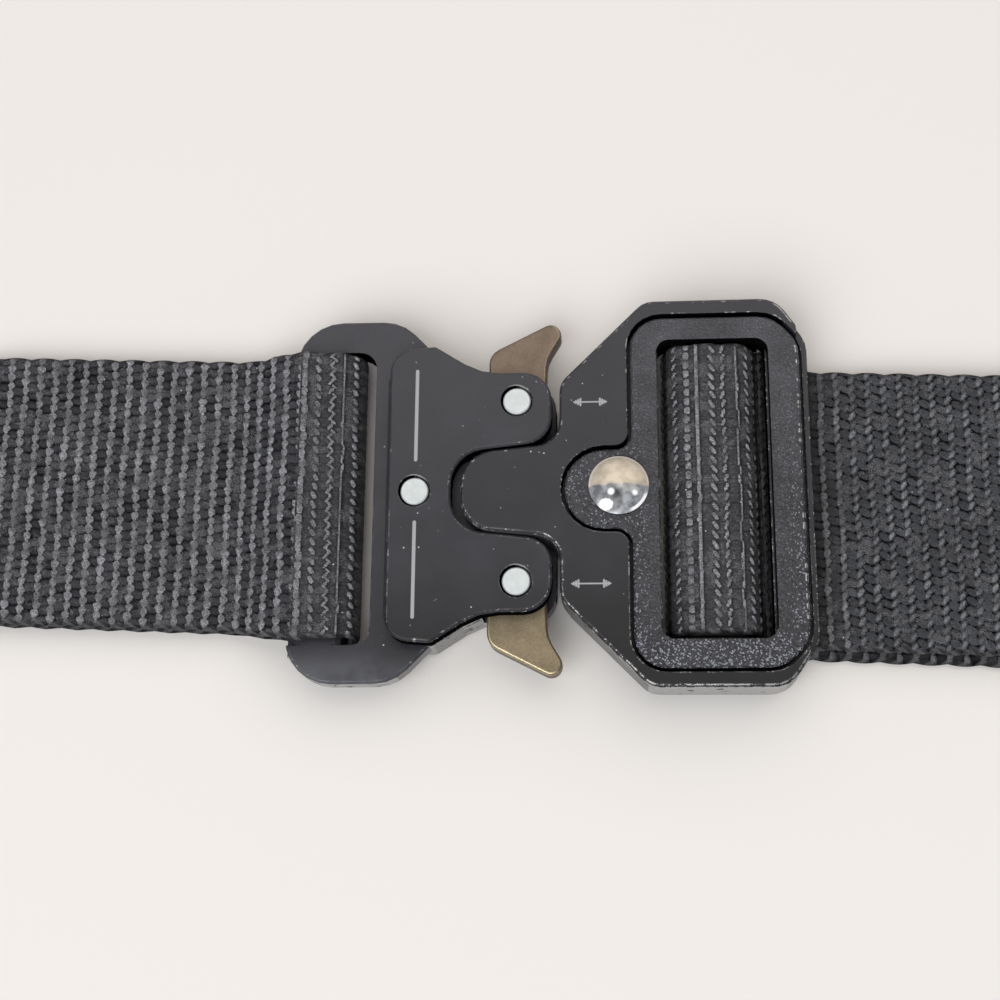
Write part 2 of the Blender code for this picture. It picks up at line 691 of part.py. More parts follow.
def loop_station(place, heading, from_left, from_right):
    """One station of the loop; its roll is 0 where the strap lies flat."""
    roll = math.pi / 2 * ease(min(from_left, from_right) / TWIST_LENGTH)
    inward = Vector((math.sin(heading), -math.cos(heading), 0.0))
    upright = Vector((0.0, 0.0, 1.0))
    across = inward * math.cos(roll) + upright * math.sin(roll)
    normal = inward * math.sin(roll) - upright * math.cos(roll)
    height = (WEB_WIDTH * math.sin(roll) + WEB_THICK * math.cos(roll)) / 2
    shift = LOWER_PLY_SHIFT * (1 - ease(from_right / FADE_LENGTH))
    middle = Vector((place.x, place.y, height)) + inward * shift
    return (middle, across, normal, WEB_WIDTH)


def make_strap(looks):
    """The whole strap: one ribbon from its sewn end to its free tail."""
    stations = []
    for station in lever_end_stations() + loop_stations() + adjuster_end_stations():
        if not stations or (station[0] - stations[-1][0]).length > STATION_MERGE:
            stations.append(station)
    verts = []
    for middle, across, normal, width in stations:
        side = across * width / 2
        rise = normal * WEB_THICK / 2
        verts.extend((middle - side - rise, middle + side - rise,
                      middle + side + rise, middle - side + rise))
    faces = [(3, 2, 1, 0)]
    for index in range(len(stations) - 1):
        base = 4 * index
        for corner in range(4):
            after = (corner + 1) % 4
            faces.append((base + corner, base + after, base + 4 + after, base + 4 + corner))
    end = 4 * (len(stations) - 1)
    faces.append((end, end + 1, end + 2, end + 3))
    return mesh_object("strap", verts, faces, looks['webbing'])


def main():
    for old in list(bpy.data.objects):
        bpy.data.objects.remove(old, do_unlink=True)
    datum = bpy.data.objects.new(DATUM_NAME, None)
    datum.location = (DATUM_SHIFT, 0.0, 0.0)
    bpy.context.scene.collection.objects.link(datum)
    looks = make_materials()
    make_strap(looks)
    make_female_base(looks)
    make_female_cover(looks)
    places = rivet_places()
    make_rivet("centre_rivet", places['centre'], looks)
    make_rivet("upper_pivot_rivet", places['upper'], looks)
    make_rivet("lower_pivot_rivet", places['lower'], looks)
    make_lever("upper_lever", 1, looks)
    make_lever("lower_lever", -1, looks)
    make_male_body(looks)
    make_male_insert(looks)
    make_dome_rivet(looks)
    make_slide_bar(looks)


main()
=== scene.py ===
import math

import bpy
import numpy as np
from mathutils import Matrix, Vector


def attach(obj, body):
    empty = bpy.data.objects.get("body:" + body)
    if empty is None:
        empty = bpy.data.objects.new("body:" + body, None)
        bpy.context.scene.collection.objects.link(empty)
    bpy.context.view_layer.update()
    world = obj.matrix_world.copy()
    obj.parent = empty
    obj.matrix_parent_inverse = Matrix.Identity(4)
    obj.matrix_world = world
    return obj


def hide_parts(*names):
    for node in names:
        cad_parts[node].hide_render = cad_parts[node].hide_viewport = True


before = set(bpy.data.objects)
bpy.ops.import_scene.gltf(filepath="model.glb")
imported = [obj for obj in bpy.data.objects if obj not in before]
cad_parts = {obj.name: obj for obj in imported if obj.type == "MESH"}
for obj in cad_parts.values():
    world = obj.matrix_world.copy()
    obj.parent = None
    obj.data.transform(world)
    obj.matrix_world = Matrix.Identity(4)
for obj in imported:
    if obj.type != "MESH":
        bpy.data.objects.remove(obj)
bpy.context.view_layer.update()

MM = 0.001
SHIFT = 13.0                     # the buckle's middle in the part's frame, mm along X

# Webbing, in mm
WEB_WIDTH = 38.5
SPREAD_WIDTH = 39.6
UNDER_BAR_WIDTH = 41.4
LOBE_SPREAD_WIDTH = 40.2
WEB_THICK = 1.5
PLY_GAP = 0.3
LOW_PLY = WEB_THICK / 2          # height of the middle of the ply that lies on the ground
SECOND_PLY = LOW_PLY + WEB_THICK + PLY_GAP
PLY_SPLIT = WEB_THICK + PLY_GAP / 2
STRAP_SLOPE = -0.04
FRONT_HALF = 170.0               # half of the waist loop's straight front
HIP_RADIUS = 50.0
HIP_TURN = math.radians(125)
TWIST_FROM = 88.0                # from here the strap turns on edge over the twist's length
TWIST_LENGTH = 100.0
UNDERLAP_END = -78.0
TAIL_END = 84.0
LEFT_KNEE = -45.5                # the fall from the left bar ends here
BAR_SIDE = 0.5                   # places across, from the line through the buckle's middle
SLIDE_SIDE = 0.5
LOWER_PLY_SHIFT = -1.1
UNDERLAP_SHIFT = -0.1
UNDERLAP_MARGIN = 1.0
FADE_LENGTH = 60.0
TAIL_FALL_ANGLE = math.radians(90)
TAIL_EASING_RADIUS = 1.5
TAIL_SETTLED = 33.0
WHOLE_HEIGHT = 99.0              # above every point of the strap
BAR_BOTTOM = 1.8
BAR_TOP = 6.3
BAR_MIDDLE = (BAR_BOTTOM + BAR_TOP) / 2
BAR_RIGHT = -29.1
BAR_LEFT = -37.1
INSERT_SLOT_RIGHT = 27.1
SLIDE_LEFT_AXIS = 17.3
SLIDE_RIGHT_AXIS = 21.4
SLIDE_AXIS_Z = 4.35
SLIDE_RADIUS = 2.55
BEND_STEP = math.radians(5)
LINE_STEP = 1.0

# Weave, in mm
RIB_PITCH = 2.15                 # along the strap; each rib has a pad and a leaning float
CORD_PITCH = 1.2833              # across the strap
SCALLOP_PITCH = 2 * RIB_PITCH
SCALLOP = 0.28
EDGE_ROUND = 0.7
SINK = 0.30                      # the weave's valleys lie this far below the strap's face
FINE_STEP = RIB_PITCH / 10       # where the camera sees the carved weave
RIM_STEP = 0.4
COARSE_STEP = RIB_PITCH
COLUMNS = 200
BACK_COLUMNS = 30
LOOP_COLUMNS = 30
LEFT_VIEW = -80.0                # the carved weave ends beyond the photo's edges
RIGHT_VIEW = 61.0
SLACK_FROM = 9.0                 # right of the slide bar the weave slackens over this stretch
SLACK_TO = 17.0
CARVED_UNDER_BAR = 3.0           # the carved weave runs on this far under a bar or the insert
LEFT_BAR_WEAVE_END = -36.1       # the stretched weave on a bar lies between these places
SLIDE_BAR_WEAVE = (13.3, 25.2)
LOOP_TIGHTNESS = 0.4
LEVEL_MARGIN = 0.1               # above the second ply by this, ribs are spaced along X
CROWN_POWER = 0.42
PAD_SALT = 3.0
FLOAT_SALT = 17.0
STRAY_ALONG = 0.20               # random shift of a crown
STRAY_ACROSS = 0.14
CORD_HEIGHT = 0.17               # the plain cords between the yarns on a bar
BAR_CROWN_LIFT = 0.10
BAR_FADE = 0.3
HOLLOW_SHADE_REACH = 0.30              # the painted shade round a yarn on a bar is this much wider
HOLLOW_SHADE_SIDE = 0.08
YARN_STEP = 0.02

# Dome rivet, in mm
DOME_X = 7.0
DOME_Y = 0.35
DOME_RADIUS = 3.95
DOME_HEIGHT = 1.35
DOME_SEAT = 9.2
DOME_SHANK = 1.1
DOME_SHANK_END = 4.2
DOME_STEPS = 14
TURNED_STEPS = 72
TURNED_CREASE = math.radians(40)

# Marks on the plates, in mm from the buckle's middle: (x0, y0, x1, y1, half width, softness)
ARROW_HEAD = 1.3                 # the heads' width against their plain size
ARROW_SHAFT = (0.10, 0.05)
ARROW_STROKES = ((0.25, 0.10), (0.55, 0.22), (0.85, 0.34))      # way in from the tip, half height
ARROW_STROKE = (0.13, 0.06)
UPPER_ARROW = (1.2, 5.5, 12.0)   # from and to along X, and Y
LOWER_ARROW = (0.8, 5.8, -12.8)
COVER_LINES = ((-19.9, 4.3, -19.9, 16.8, 0.23, 0.05), (-19.9, -17.0, -19.9, -4.3, 0.23, 0.05))
# painted shadow line on the base beside the cover's left edge
COVER_EDGE_SHADOW = (-24.05, -16.5, -24.05, 16.5, 0.12, 0.06)
RIVETS = ((-20.0, 0.0), (-6.45, 12.35), (-6.45, -12.35))
HOLE_RADIUS = 2.0
HOLE_OFFSET = (-0.12, 0.10)      # the painted shadow crescent lies on the side away from the light
HOLE_LIT_WAY = (0.62, 0.78, 0.0)

# Camera: place in mm and lens in mm, turns about X, Y and Z in degrees
CAMERA_PLACE = (7.3759 + SHIFT, -59.0781, 211.6916)
CAMERA_TURN = (15.8156, 4.5594, -0.8192)
CAMERA_LENS = 57.816
CAMERA_SENSOR = 36.0
CAMERA_REACH = (0.01, 20.0)      # metres

# Floor and lights, in metres and watts: a light is its place, size, power and colour
FLOOR_HALF = 3.0
FLOOR_COLOUR = (0.715, 0.700, 0.680)
LIGHT_AIM = (0.02, 0.0, 0.0)
KEY_LIGHT = ((-0.5, -1.0, 1.3), (1.5, 1.5), 25.0, (1.0, 0.99, 0.98))
FILL_LIGHT = ((0.3, 1.0, 1.4), (2.6, 2.0), 17.0, (1.0, 0.90, 0.79))
SKY_COLOUR = (0.95, 0.96, 1.0, 1.0)
SKY_STRENGTH = 0.44

# Yarns of one rib: centre along and across, half length, half width, lean in degrees, height and
# how much wider one end is.
# First row where the strap is slack, second row where it is pulled tight.
PAD = (
    (0.72, 0.62, 0.98, 0.60, -32.0, 0.25, 0.0),
    (0.80, 0.62, 1.25, 0.80, -8.0, 0.15, 0.0),
)
FLOAT = (
    (1.74, 0.66, 0.80, 0.37, 57.0, 0.34, 0.0),
    (1.84, 0.66, 0.74, 0.48, 84.0, 0.42, 0.75),
)
SLIT_SHADOW_SHAPE = (0.92, 1.26, 0.36, 0.13, -10.0)          # painted shadow slit between two pads of the tight weave
# Yarns that show on a bar, where the ribs are stretched apart: place along X from the buckle's
# middle, phase across in cords, lean, half length, half width, height and brightness.
LEFT_BAR_YARNS = (
    (-35.30, 0.0, 86.0, 0.66, 0.40, 0.34, 0.65),
    (-33.60, 0.5, -60.0, 0.60, 0.32, 0.30, 0.55),
    (-31.75, 0.0, 50.0, 0.56, 0.20, 0.30, 0.75),
    (-31.45, 0.5, -48.0, 0.46, 0.18, 0.29, 0.65),
    (-30.54, 0.5, 88.0, 0.80, 0.13, 0.24, 0.80),
    (-29.55, 0.0, -72.0, 0.50, 0.23, 0.36, 0.75),
)
SLIDE_BAR_YARNS = (
    (14.50, 0.0, 60.0, 0.58, 0.18, 0.34, 1.00),
    (16.12, 0.0, 86.0, 0.56, 0.36, 0.34, 0.70),
    (17.50, 0.5, 86.0, 0.80, 0.25, 0.32, 0.75),
    (19.50, 0.6, -56.0, 0.68, 0.27, 0.30, 0.75),
    (20.98, 0.6, 68.0, 0.64, 0.22, 0.30, 0.85),
    (22.88, 0.5, 90.0, 0.80, 0.14, 0.27, 0.85),
    (24.20, 0.0, -64.0, 0.62, 0.20, 0.30, 0.90),
)


def drift(x):
    return STRAP_SLOPE * x


def ease(value):
    value = min(1.0, max(0.0, value))
    return value * value * (3 - 2 * value)


def level(x_from, x_to, height):
    count = max(1, round(abs(x_to - x_from) / LINE_STEP))
    heading = 0.0 if x_to > x_from else math.pi
    return [(x_from + (x_to - x_from) * i / count, height, heading) for i in range(count + 1)]


def bend(centre, radius, start, end):
    count = max(2, round(abs(end - start) / BEND_STEP))
    turned = math.copysign(math.pi / 2, end - start)
    run = []
    for i in range(count + 1):
        angle = start + (end - start) * i / count
        run.append((centre[0] + radius * math.cos(angle),
                    centre[1] + radius * math.sin(angle), angle + turned))
    return run


def ramp(x_from, x_to, z_from, z_to, count=16):
    run = []
    for i in range(count + 1):
        share = i / count
        climb = (z_to - z_from) * 6 * share * (1 - share)
        run.append((x_from + (x_to - x_from) * share, z_from + (z_to - z_from) * ease(share),
                    math.atan2(climb, x_to - x_from) % math.tau))
    return run


def dress(run, sides, widths=(WEB_WIDTH, WEB_WIDTH)):
    """Rows of middle (3), across (3), normal (3) and width, from a run in the XZ plane."""
    rows = []
    last = len(run) - 1
    for i, (x, z, heading) in enumerate(run):
        share = i / last
        side = sides[0] + (sides[1] - sides[0]) * share
        width = widths[0] + (widths[1] - widths[0]) * share
        rows.append([x, side, z, 0.0, 1.0, 0.0, -math.sin(heading), 0.0, math.cos(heading), width])
    return rows


def lever_end_rows():
    """Underlap, wrap on the left bar and top ply."""
    low, second = LOW_PLY, SECOND_PLY
    high = BAR_TOP + PLY_GAP + WEB_THICK / 2
    radius = (high - low) / 2
    axis = (BAR_RIGHT + PLY_GAP + WEB_THICK / 2 - radius, (high + low) / 2)
    wide = (SPREAD_WIDTH, SPREAD_WIDTH)
    drop = UNDERLAP_END - UNDERLAP_MARGIN
    under = dress(level(UNDERLAP_END, LEFT_KNEE, low),
                  (drift(UNDERLAP_END) + UNDERLAP_SHIFT, drift(LEFT_KNEE) + UNDERLAP_SHIFT))
    entry = dress(level(LEFT_KNEE, axis[0], low),
                  (drift(LEFT_KNEE) + UNDERLAP_SHIFT, BAR_SIDE), (WEB_WIDTH, SPREAD_WIDTH))
    wrap = dress(bend(axis, radius, -math.pi / 2, math.pi / 2), (BAR_SIDE, BAR_SIDE), wide)
    brow = BAR_LEFT + (BAR_TOP - BAR_BOTTOM) / 2
    over = dress(level(axis[0], brow, high), (BAR_SIDE, BAR_SIDE),
                 (SPREAD_WIDTH, LOBE_SPREAD_WIDTH))
    fall = dress(ramp(brow, LEFT_KNEE, high, second), (BAR_SIDE, drift(LEFT_KNEE)),
                 (LOBE_SPREAD_WIDTH, WEB_WIDTH))
    top = dress(level(LEFT_KNEE, drop, second), (drift(LEFT_KNEE), drift(drop)))
    settle = dress(ramp(drop, -TWIST_FROM, second, low, 8), (drift(drop), drift(-TWIST_FROM)))
    return under + entry + wrap + over + fall + top + settle


def adjuster_end_rows():
    """Lower ply, wrap on the slide bar and free tail."""
    low, second = LOW_PLY, SECOND_PLY
    radius = SLIDE_RADIUS + PLY_GAP + WEB_THICK / 2
    left_axis = (SLIDE_LEFT_AXIS, SLIDE_AXIS_Z)
    right_axis = (SLIDE_RIGHT_AXIS, SLIDE_AXIS_Z)
    fall = TAIL_FALL_ANGLE
    easing = TAIL_EASING_RADIUS
    slant = (SLIDE_AXIS_Z + (radius + easing) * math.cos(fall) - easing - second) / math.sin(fall)
    level_x = SLIDE_RIGHT_AXIS + (radius + easing) * math.sin(fall) + slant * math.cos(fall)
    wide = (SPREAD_WIDTH, SPREAD_WIDTH)
    entry_x = INSERT_SLOT_RIGHT
    lower = dress(level(TWIST_FROM, entry_x, low),
                  (drift(TWIST_FROM) + LOWER_PLY_SHIFT, drift(entry_x) + LOWER_PLY_SHIFT))
    entry = dress(level(entry_x, SLIDE_LEFT_AXIS, low),
                  (drift(entry_x) + LOWER_PLY_SHIFT, SLIDE_SIDE), (WEB_WIDTH, SPREAD_WIDTH))
    wrap = dress(bend(left_axis, radius, -math.pi / 2, -math.pi * 1.5),
                 (SLIDE_SIDE, SLIDE_SIDE), wide)
    over = dress(level(SLIDE_LEFT_AXIS, SLIDE_RIGHT_AXIS, SLIDE_AXIS_Z + radius),
                 (SLIDE_SIDE, SLIDE_SIDE), wide)
    down = dress(bend(right_axis, radius, math.pi / 2, math.pi / 2 - fall),
                 (SLIDE_SIDE, SLIDE_SIDE), wide)
    down += dress(bend((level_x, second + easing), easing, -math.pi / 2 - fall, -math.pi / 2),
                  (SLIDE_SIDE, SLIDE_SIDE), (SPREAD_WIDTH, UNDER_BAR_WIDTH))
    settling = dress(level(level_x, TAIL_SETTLED, second), (SLIDE_SIDE, drift(TAIL_SETTLED)),
                     (UNDER_BAR_WIDTH, WEB_WIDTH))
    tail = dress(level(TAIL_SETTLED, TAIL_END, second), (drift(TAIL_SETTLED), drift(TAIL_END)))
    return lower + entry + wrap + over + down + settling + tail


def loop_rows():
    """Waist loop from the top ply round to the lower ply."""
    back_radius = HIP_RADIUS + FRONT_HALF / math.sin(HIP_TURN)
    back_turn = math.tau - 2 * HIP_TURN
    front_run = FRONT_HALF - TWIST_FROM
    runs = (
        (front_run, 0.0),
        (HIP_RADIUS * HIP_TURN, 1 / HIP_RADIUS),
        (back_radius * back_turn, 1 / back_radius),
        (HIP_RADIUS * HIP_TURN, 1 / HIP_RADIUS),
        (front_run, 0.0),
    )
    whole = sum(length for length, _ in runs)
    heading = math.pi + math.atan(STRAP_SLOPE)
    place = np.array([-TWIST_FROM, drift(-TWIST_FROM)])
    travelled = 0.0
    rows = []
    for length, curvature in runs:
        count = max(1, round(length / (2 * LINE_STEP)))
        stretch = length / count
        for _ in range(count):
            rows.append(loop_row(place, heading, travelled, whole - travelled))
            middle = heading - curvature * stretch / 2
            chord = stretch
            if curvature:
                chord = 2 / curvature * math.sin(curvature * stretch / 2)
            place = place + np.array([math.cos(middle), math.sin(middle)]) * chord
            heading -= curvature * stretch
            travelled += stretch
    rows.append(loop_row(place, heading, whole, 0.0))
    return rows


def loop_row(place, heading, from_left, from_right):
    roll = math.pi / 2 * ease(min(from_left, from_right) / TWIST_LENGTH)
    inward = np.array([math.sin(heading), -math.cos(heading), 0.0])
    upright = np.array([0.0, 0.0, 1.0])
    across = inward * math.cos(roll) + upright * math.sin(roll)
    normal = inward * math.sin(roll) - upright * math.cos(roll)
    height = (WEB_WIDTH * math.sin(roll) + WEB_THICK * math.cos(roll)) / 2
    shift = LOWER_PLY_SHIFT * (1 - ease(from_right / FADE_LENGTH))
    middle = np.array([place[0], place[1], height]) + inward * shift
    return [*middle, *across, *normal, WEB_WIDTH]


class Path:
    """A strap run whose rows are read at any length along it.

    Above level_from the weave's ribs are spaced by their run along X, not along the slope.
    """

    def __init__(self, rows, level_from=WHOLE_HEIGHT):
        kept = [rows[0]]
        for row in rows[1:]:
            if math.dist(row[:3], kept[-1][:3]) > 0.02:
                kept.append(row)
        self.rows = np.array(kept, float)
        steps = np.linalg.norm(np.diff(self.rows[:, :3], axis=0), axis=1)
        self.at = np.concatenate([[0.0], np.cumsum(steps)])
        self.length = self.at[-1]
        raised = self.rows[1:, 2] > level_from
        runs = np.where(raised, np.abs(np.diff(self.rows[:, 0])), steps)
        self.weave = np.concatenate([[0.0], np.cumsum(runs)])

    def read(self, lengths):
        read = np.stack([np.interp(lengths, self.at, column) for column in self.rows.T], axis=1)
        for low in (3, 6):
            read[:, low:low + 3] /= np.linalg.norm(read[:, low:low + 3], axis=1)[:, None]
        return read

    def length_at(self, x, low_z=0.0, high_z=WHOLE_HEIGHT):
        """Length at which the normal's face passes x between two heights."""
        return self.at[nearest_row(self.rows, x, low_z, high_z)]

    def yarns_at(self, rows, side, low_z):
        """Rows of bar yarns with their place along X turned into length along the weave."""
        dense = np.arange(0.0, self.length, YARN_STEP)
        read = self.read(dense)
        placed = []
        for x, *rest in rows:
            length = dense[nearest_row(read, x, low_z, WHOLE_HEIGHT)]
            placed.append((side * np.interp(length, self.at, self.weave), *rest))
        return placed


def nearest_row(rows, x, low_z, high_z):
    """Index of the row between two heights whose face on the normal's side is nearest to x."""
    face = rows[:, 0] + rows[:, 6] * WEB_THICK / 2
    outside = (rows[:, 2] < low_z) | (rows[:, 2] > high_z)
    return int(np.argmin(np.where(outside, np.inf, np.abs(face - x))))


def hashed(a, b):
    value = np.sin(a * 12.9898 + b * 78.233) * 43758.5453
    return value - np.floor(value)


def ellipse(dx, dy, long, wide, lean, power, taper=0.0, blunt=2.0):
    """Height share of a leaning yarn crown at an offset from its middle.

    taper widens one end, and blunt above 2 squares the ends.
    """
    p = dx * np.cos(lean) + dy * np.sin(lean)
    q = dy * np.cos(lean) - dx * np.sin(lean)
    wide = wide * (1 + taper * p / long)
    away = np.abs(p / long) ** blunt + np.abs(q / wide) ** blunt
    return np.clip(1 - away, 0.0, 1.0) ** power


def yarns(along, across, rows, tight, salt):
    """Height of one kind of yarn, and a random tone of each of its crowns."""
    mixed = (slack + (taut - slack) * tight for slack, taut in zip(*rows))
    x0, y0, long, wide, lean, tall, taper = mixed
    lean = np.radians(lean)
    column = np.floor(along / RIB_PITCH)
    best = np.zeros_like(along)
    tone = np.full_like(along, 0.5)
    for shift in (-1, 0, 1):
        here = column + shift
        turned = (across + (here % 2) * CORD_PITCH / 2 - y0) / CORD_PITCH
        nearest = np.floor(turned + 0.5)
        for other in (-1, 0, 1):
            cell = nearest + other
            chance = hashed(here, cell + salt)
            dx = along - here * RIB_PITCH - x0 + STRAY_ALONG * (chance - 0.5)
            dy = (turned - cell) * CORD_PITCH + STRAY_ACROSS * (hashed(cell, here + salt) - 0.5)
            broad = wide * (0.85 + 0.3 * hashed(cell + salt, here))
            crown = ellipse(dx, dy, long, broad, lean, CROWN_POWER, taper)
            height = tall * (0.80 + 0.40 * chance) * crown
            tone = np.where(height > best, chance, tone)
            best = np.maximum(best, height)
    return best, tone


def bar_yarns(along, across, rows):
    """Cords of the stretched weave on a bar, the yarns that show between them, their tone and the
    painted shade round them.
    """
    groove = np.abs((across / CORD_PITCH) % 1.0 - 0.5) * 2
    cords = CORD_HEIGHT * (1 - 0.40 * groove ** 7)
    best = np.zeros_like(along)
    tone = np.full_like(along, 0.5)
    hollow_shade = np.zeros_like(along)
    for place, phase, lean, long, wide, tall, bright in rows:
        turned = across / CORD_PITCH - phase
        cell = np.floor(turned + 0.5)
        chance = hashed(cell, np.full_like(cell, place))
        dx = along - place + 0.18 * (chance - 0.5)
        dy = (turned - cell) * CORD_PITCH
        for turn_back in (-1, 0, 1):
            reach = dy + turn_back * CORD_PITCH
            crown = ellipse(dx, reach, long, wide, math.radians(lean), 0.4, blunt=3.0)
            height = (BAR_CROWN_LIFT + tall) * (0.85 + 0.3 * chance) * crown
            tone = np.where(height > best, bright * (0.65 + 0.35 * chance), tone)
            best = np.maximum(best, height)
            hollow_shade = np.maximum(hollow_shade, ellipse(dx - HOLLOW_SHADE_SIDE, reach + HOLLOW_SHADE_SIDE, long * 1.25,
                                                wide + HOLLOW_SHADE_REACH, math.radians(lean), 0.6))
    return cords, best, tone, hollow_shade


def spaced(zones):
    """Lengths of the rings, and whether each is carved, from the zones."""
    lengths = [zones[0][0]]
    carving = [zones[0][3]]
    for low, high, step, carved in zones:
        count = max(1, round((high - low) / step))
        lengths.extend(low + (high - low) * (i + 1) / count for i in range(count))
        carving.extend([carved] * count)
    return np.array(lengths), np.array(carving, float)


def weave(lengths, along, across, tight, bar):
    """Heights of pads and floats, their tones and the painted shade round yarns on a bar, for each
    point of the rings.
    """
    # Slow wander of the ribs and of the cords
    wobble = 0.07 * np.sin(across / 3.1 + along / 17.0) + 0.04 * np.sin(across / 1.7 - along / 6.0)
    sway = 0.06 * np.sin(along / 9.0) + 0.03 * np.sin(along / 2.9 + across)
    taut = np.interp(lengths, *tight)[:, None] * np.ones_like(across)
    pads, pad_tone = yarns(along + wobble, across + sway, PAD, taut, PAD_SALT)
    floats, float_tone = yarns(along + wobble, across + sway, FLOAT, taut, FLOAT_SALT)
    on_bar = np.zeros_like(across)
    hollow_shade = np.zeros_like(across)
    if bar:
        low, high, yarn_rows = bar
        near = np.clip((lengths - low) / BAR_FADE, 0, 1)
        near = near * np.clip((high - lengths) / BAR_FADE, 0, 1)
        on_bar = near[:, None] * np.ones_like(across)
        cords, lines, line_tone, hollow_shade = bar_yarns(along + 0.4 * wobble, across + sway, yarn_rows)
        pads = pads + (cords - pads) * on_bar
        floats = floats + (lines - floats) * on_bar
        float_tone = float_tone + (line_tone - float_tone) * on_bar
        hollow_shade = hollow_shade * on_bar
    over = np.clip((floats - pads + 0.02) / 0.05, 0, 1)
    tone = pad_tone + (float_tone - pad_tone) * over
    return {"pads": pads, "floats": floats, "tone": tone, "tight": taut, "on_bar": on_bar,
            "hollow_shade": hollow_shade}


def ring_faces(count, ring, side):
    """Quads between the rings and a cap on each end, all facing out."""
    index = np.arange(ring)
    after = (index + 1) % ring
    base = (np.arange(count - 1) * ring)[:, None]
    quads = np.stack([base + index, base + after, base + ring + after, base + ring + index], axis=2)
    quads = quads.reshape(-1, 4)
    caps = [list(range(ring)), list(range(count * ring - 1, (count - 1) * ring - 1, -1))]
    if side > 0:
        quads = quads[:, ::-1]
    else:
        caps = [cap[::-1] for cap in caps]
    return quads.tolist() + caps


def strap_piece(name, path, zones, side, columns, back_columns, tight, bar, look):
    """Closed strap of one ring of points at each length.

    zones are (from, to, step, carved) lengths. side is +1 or -1 of the normal for the face that
    has the carved weave. tight is (lengths, values). bar is the two lengths between which the
    rows of yarns, given by length, lie on a bar.
    """
    lengths, carving = spaced(zones)
    rows = path.read(lengths)
    travel = np.interp(lengths, path.at, path.weave) * side
    shares = np.concatenate([np.linspace(-0.5, 0.5, columns + 1),
                             np.linspace(0.5, -0.5, back_columns + 1)[1:-1]])
    facing = np.concatenate([np.ones(columns + 1), -np.ones(back_columns - 1)])[None, :]
    scallop = SCALLOP * (np.abs(np.sin(math.pi * travel / SCALLOP_PITCH)) - 0.6)
    half = rows[:, 9] / 2 + scallop
    across = shares[None, :] * 2 * half[:, None]
    along = travel[:, None] * np.ones_like(across)
    rim = half[:, None] - np.abs(across)
    rounding = np.sqrt(np.clip(1 - (1 - np.clip(rim / EDGE_ROUND, 0, 1)) ** 2, 0, 1))
    carved = (facing > 0) * carving[:, None]
    woven = weave(lengths, along, across, tight, bar)
    relief = np.maximum(woven["pads"], woven["floats"])
    lift = (WEB_THICK / 2 + (relief - SINK) * carved) * rounding * facing * side
    place = (rows[:, None, 0:3] + rows[:, None, 3:6] * across[:, :, None]
             + rows[:, None, 6:9] * lift[:, :, None]).reshape(-1, 3)
    place[:, 0] += SHIFT
    mesh = bpy.data.meshes.new(name)
    mesh.from_pydata((place * MM).tolist(), [], ring_faces(len(lengths), len(shares), side))
    mesh.validate()
    mesh.update()
    mesh.shade_smooth()
    mesh.materials.append(look)
    layers = {"along": along, "across": across, "rim": rim, "carved": carved, **woven}
    for layer, values in layers.items():
        store(mesh, layer, values)
    made = added(name, mesh)
    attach(made, "belt")
    return made


def added(name, data):
    """Object of a mesh, light or camera, in the scene."""
    made = bpy.data.objects.new(name, data)
    bpy.context.scene.collection.objects.link(made)
    return made


def store(mesh, name, values):
    layer = mesh.attributes.new(name, 'FLOAT', 'POINT')
    layer.data.foreach_set("value", np.ascontiguousarray(values, np.float32).ravel())


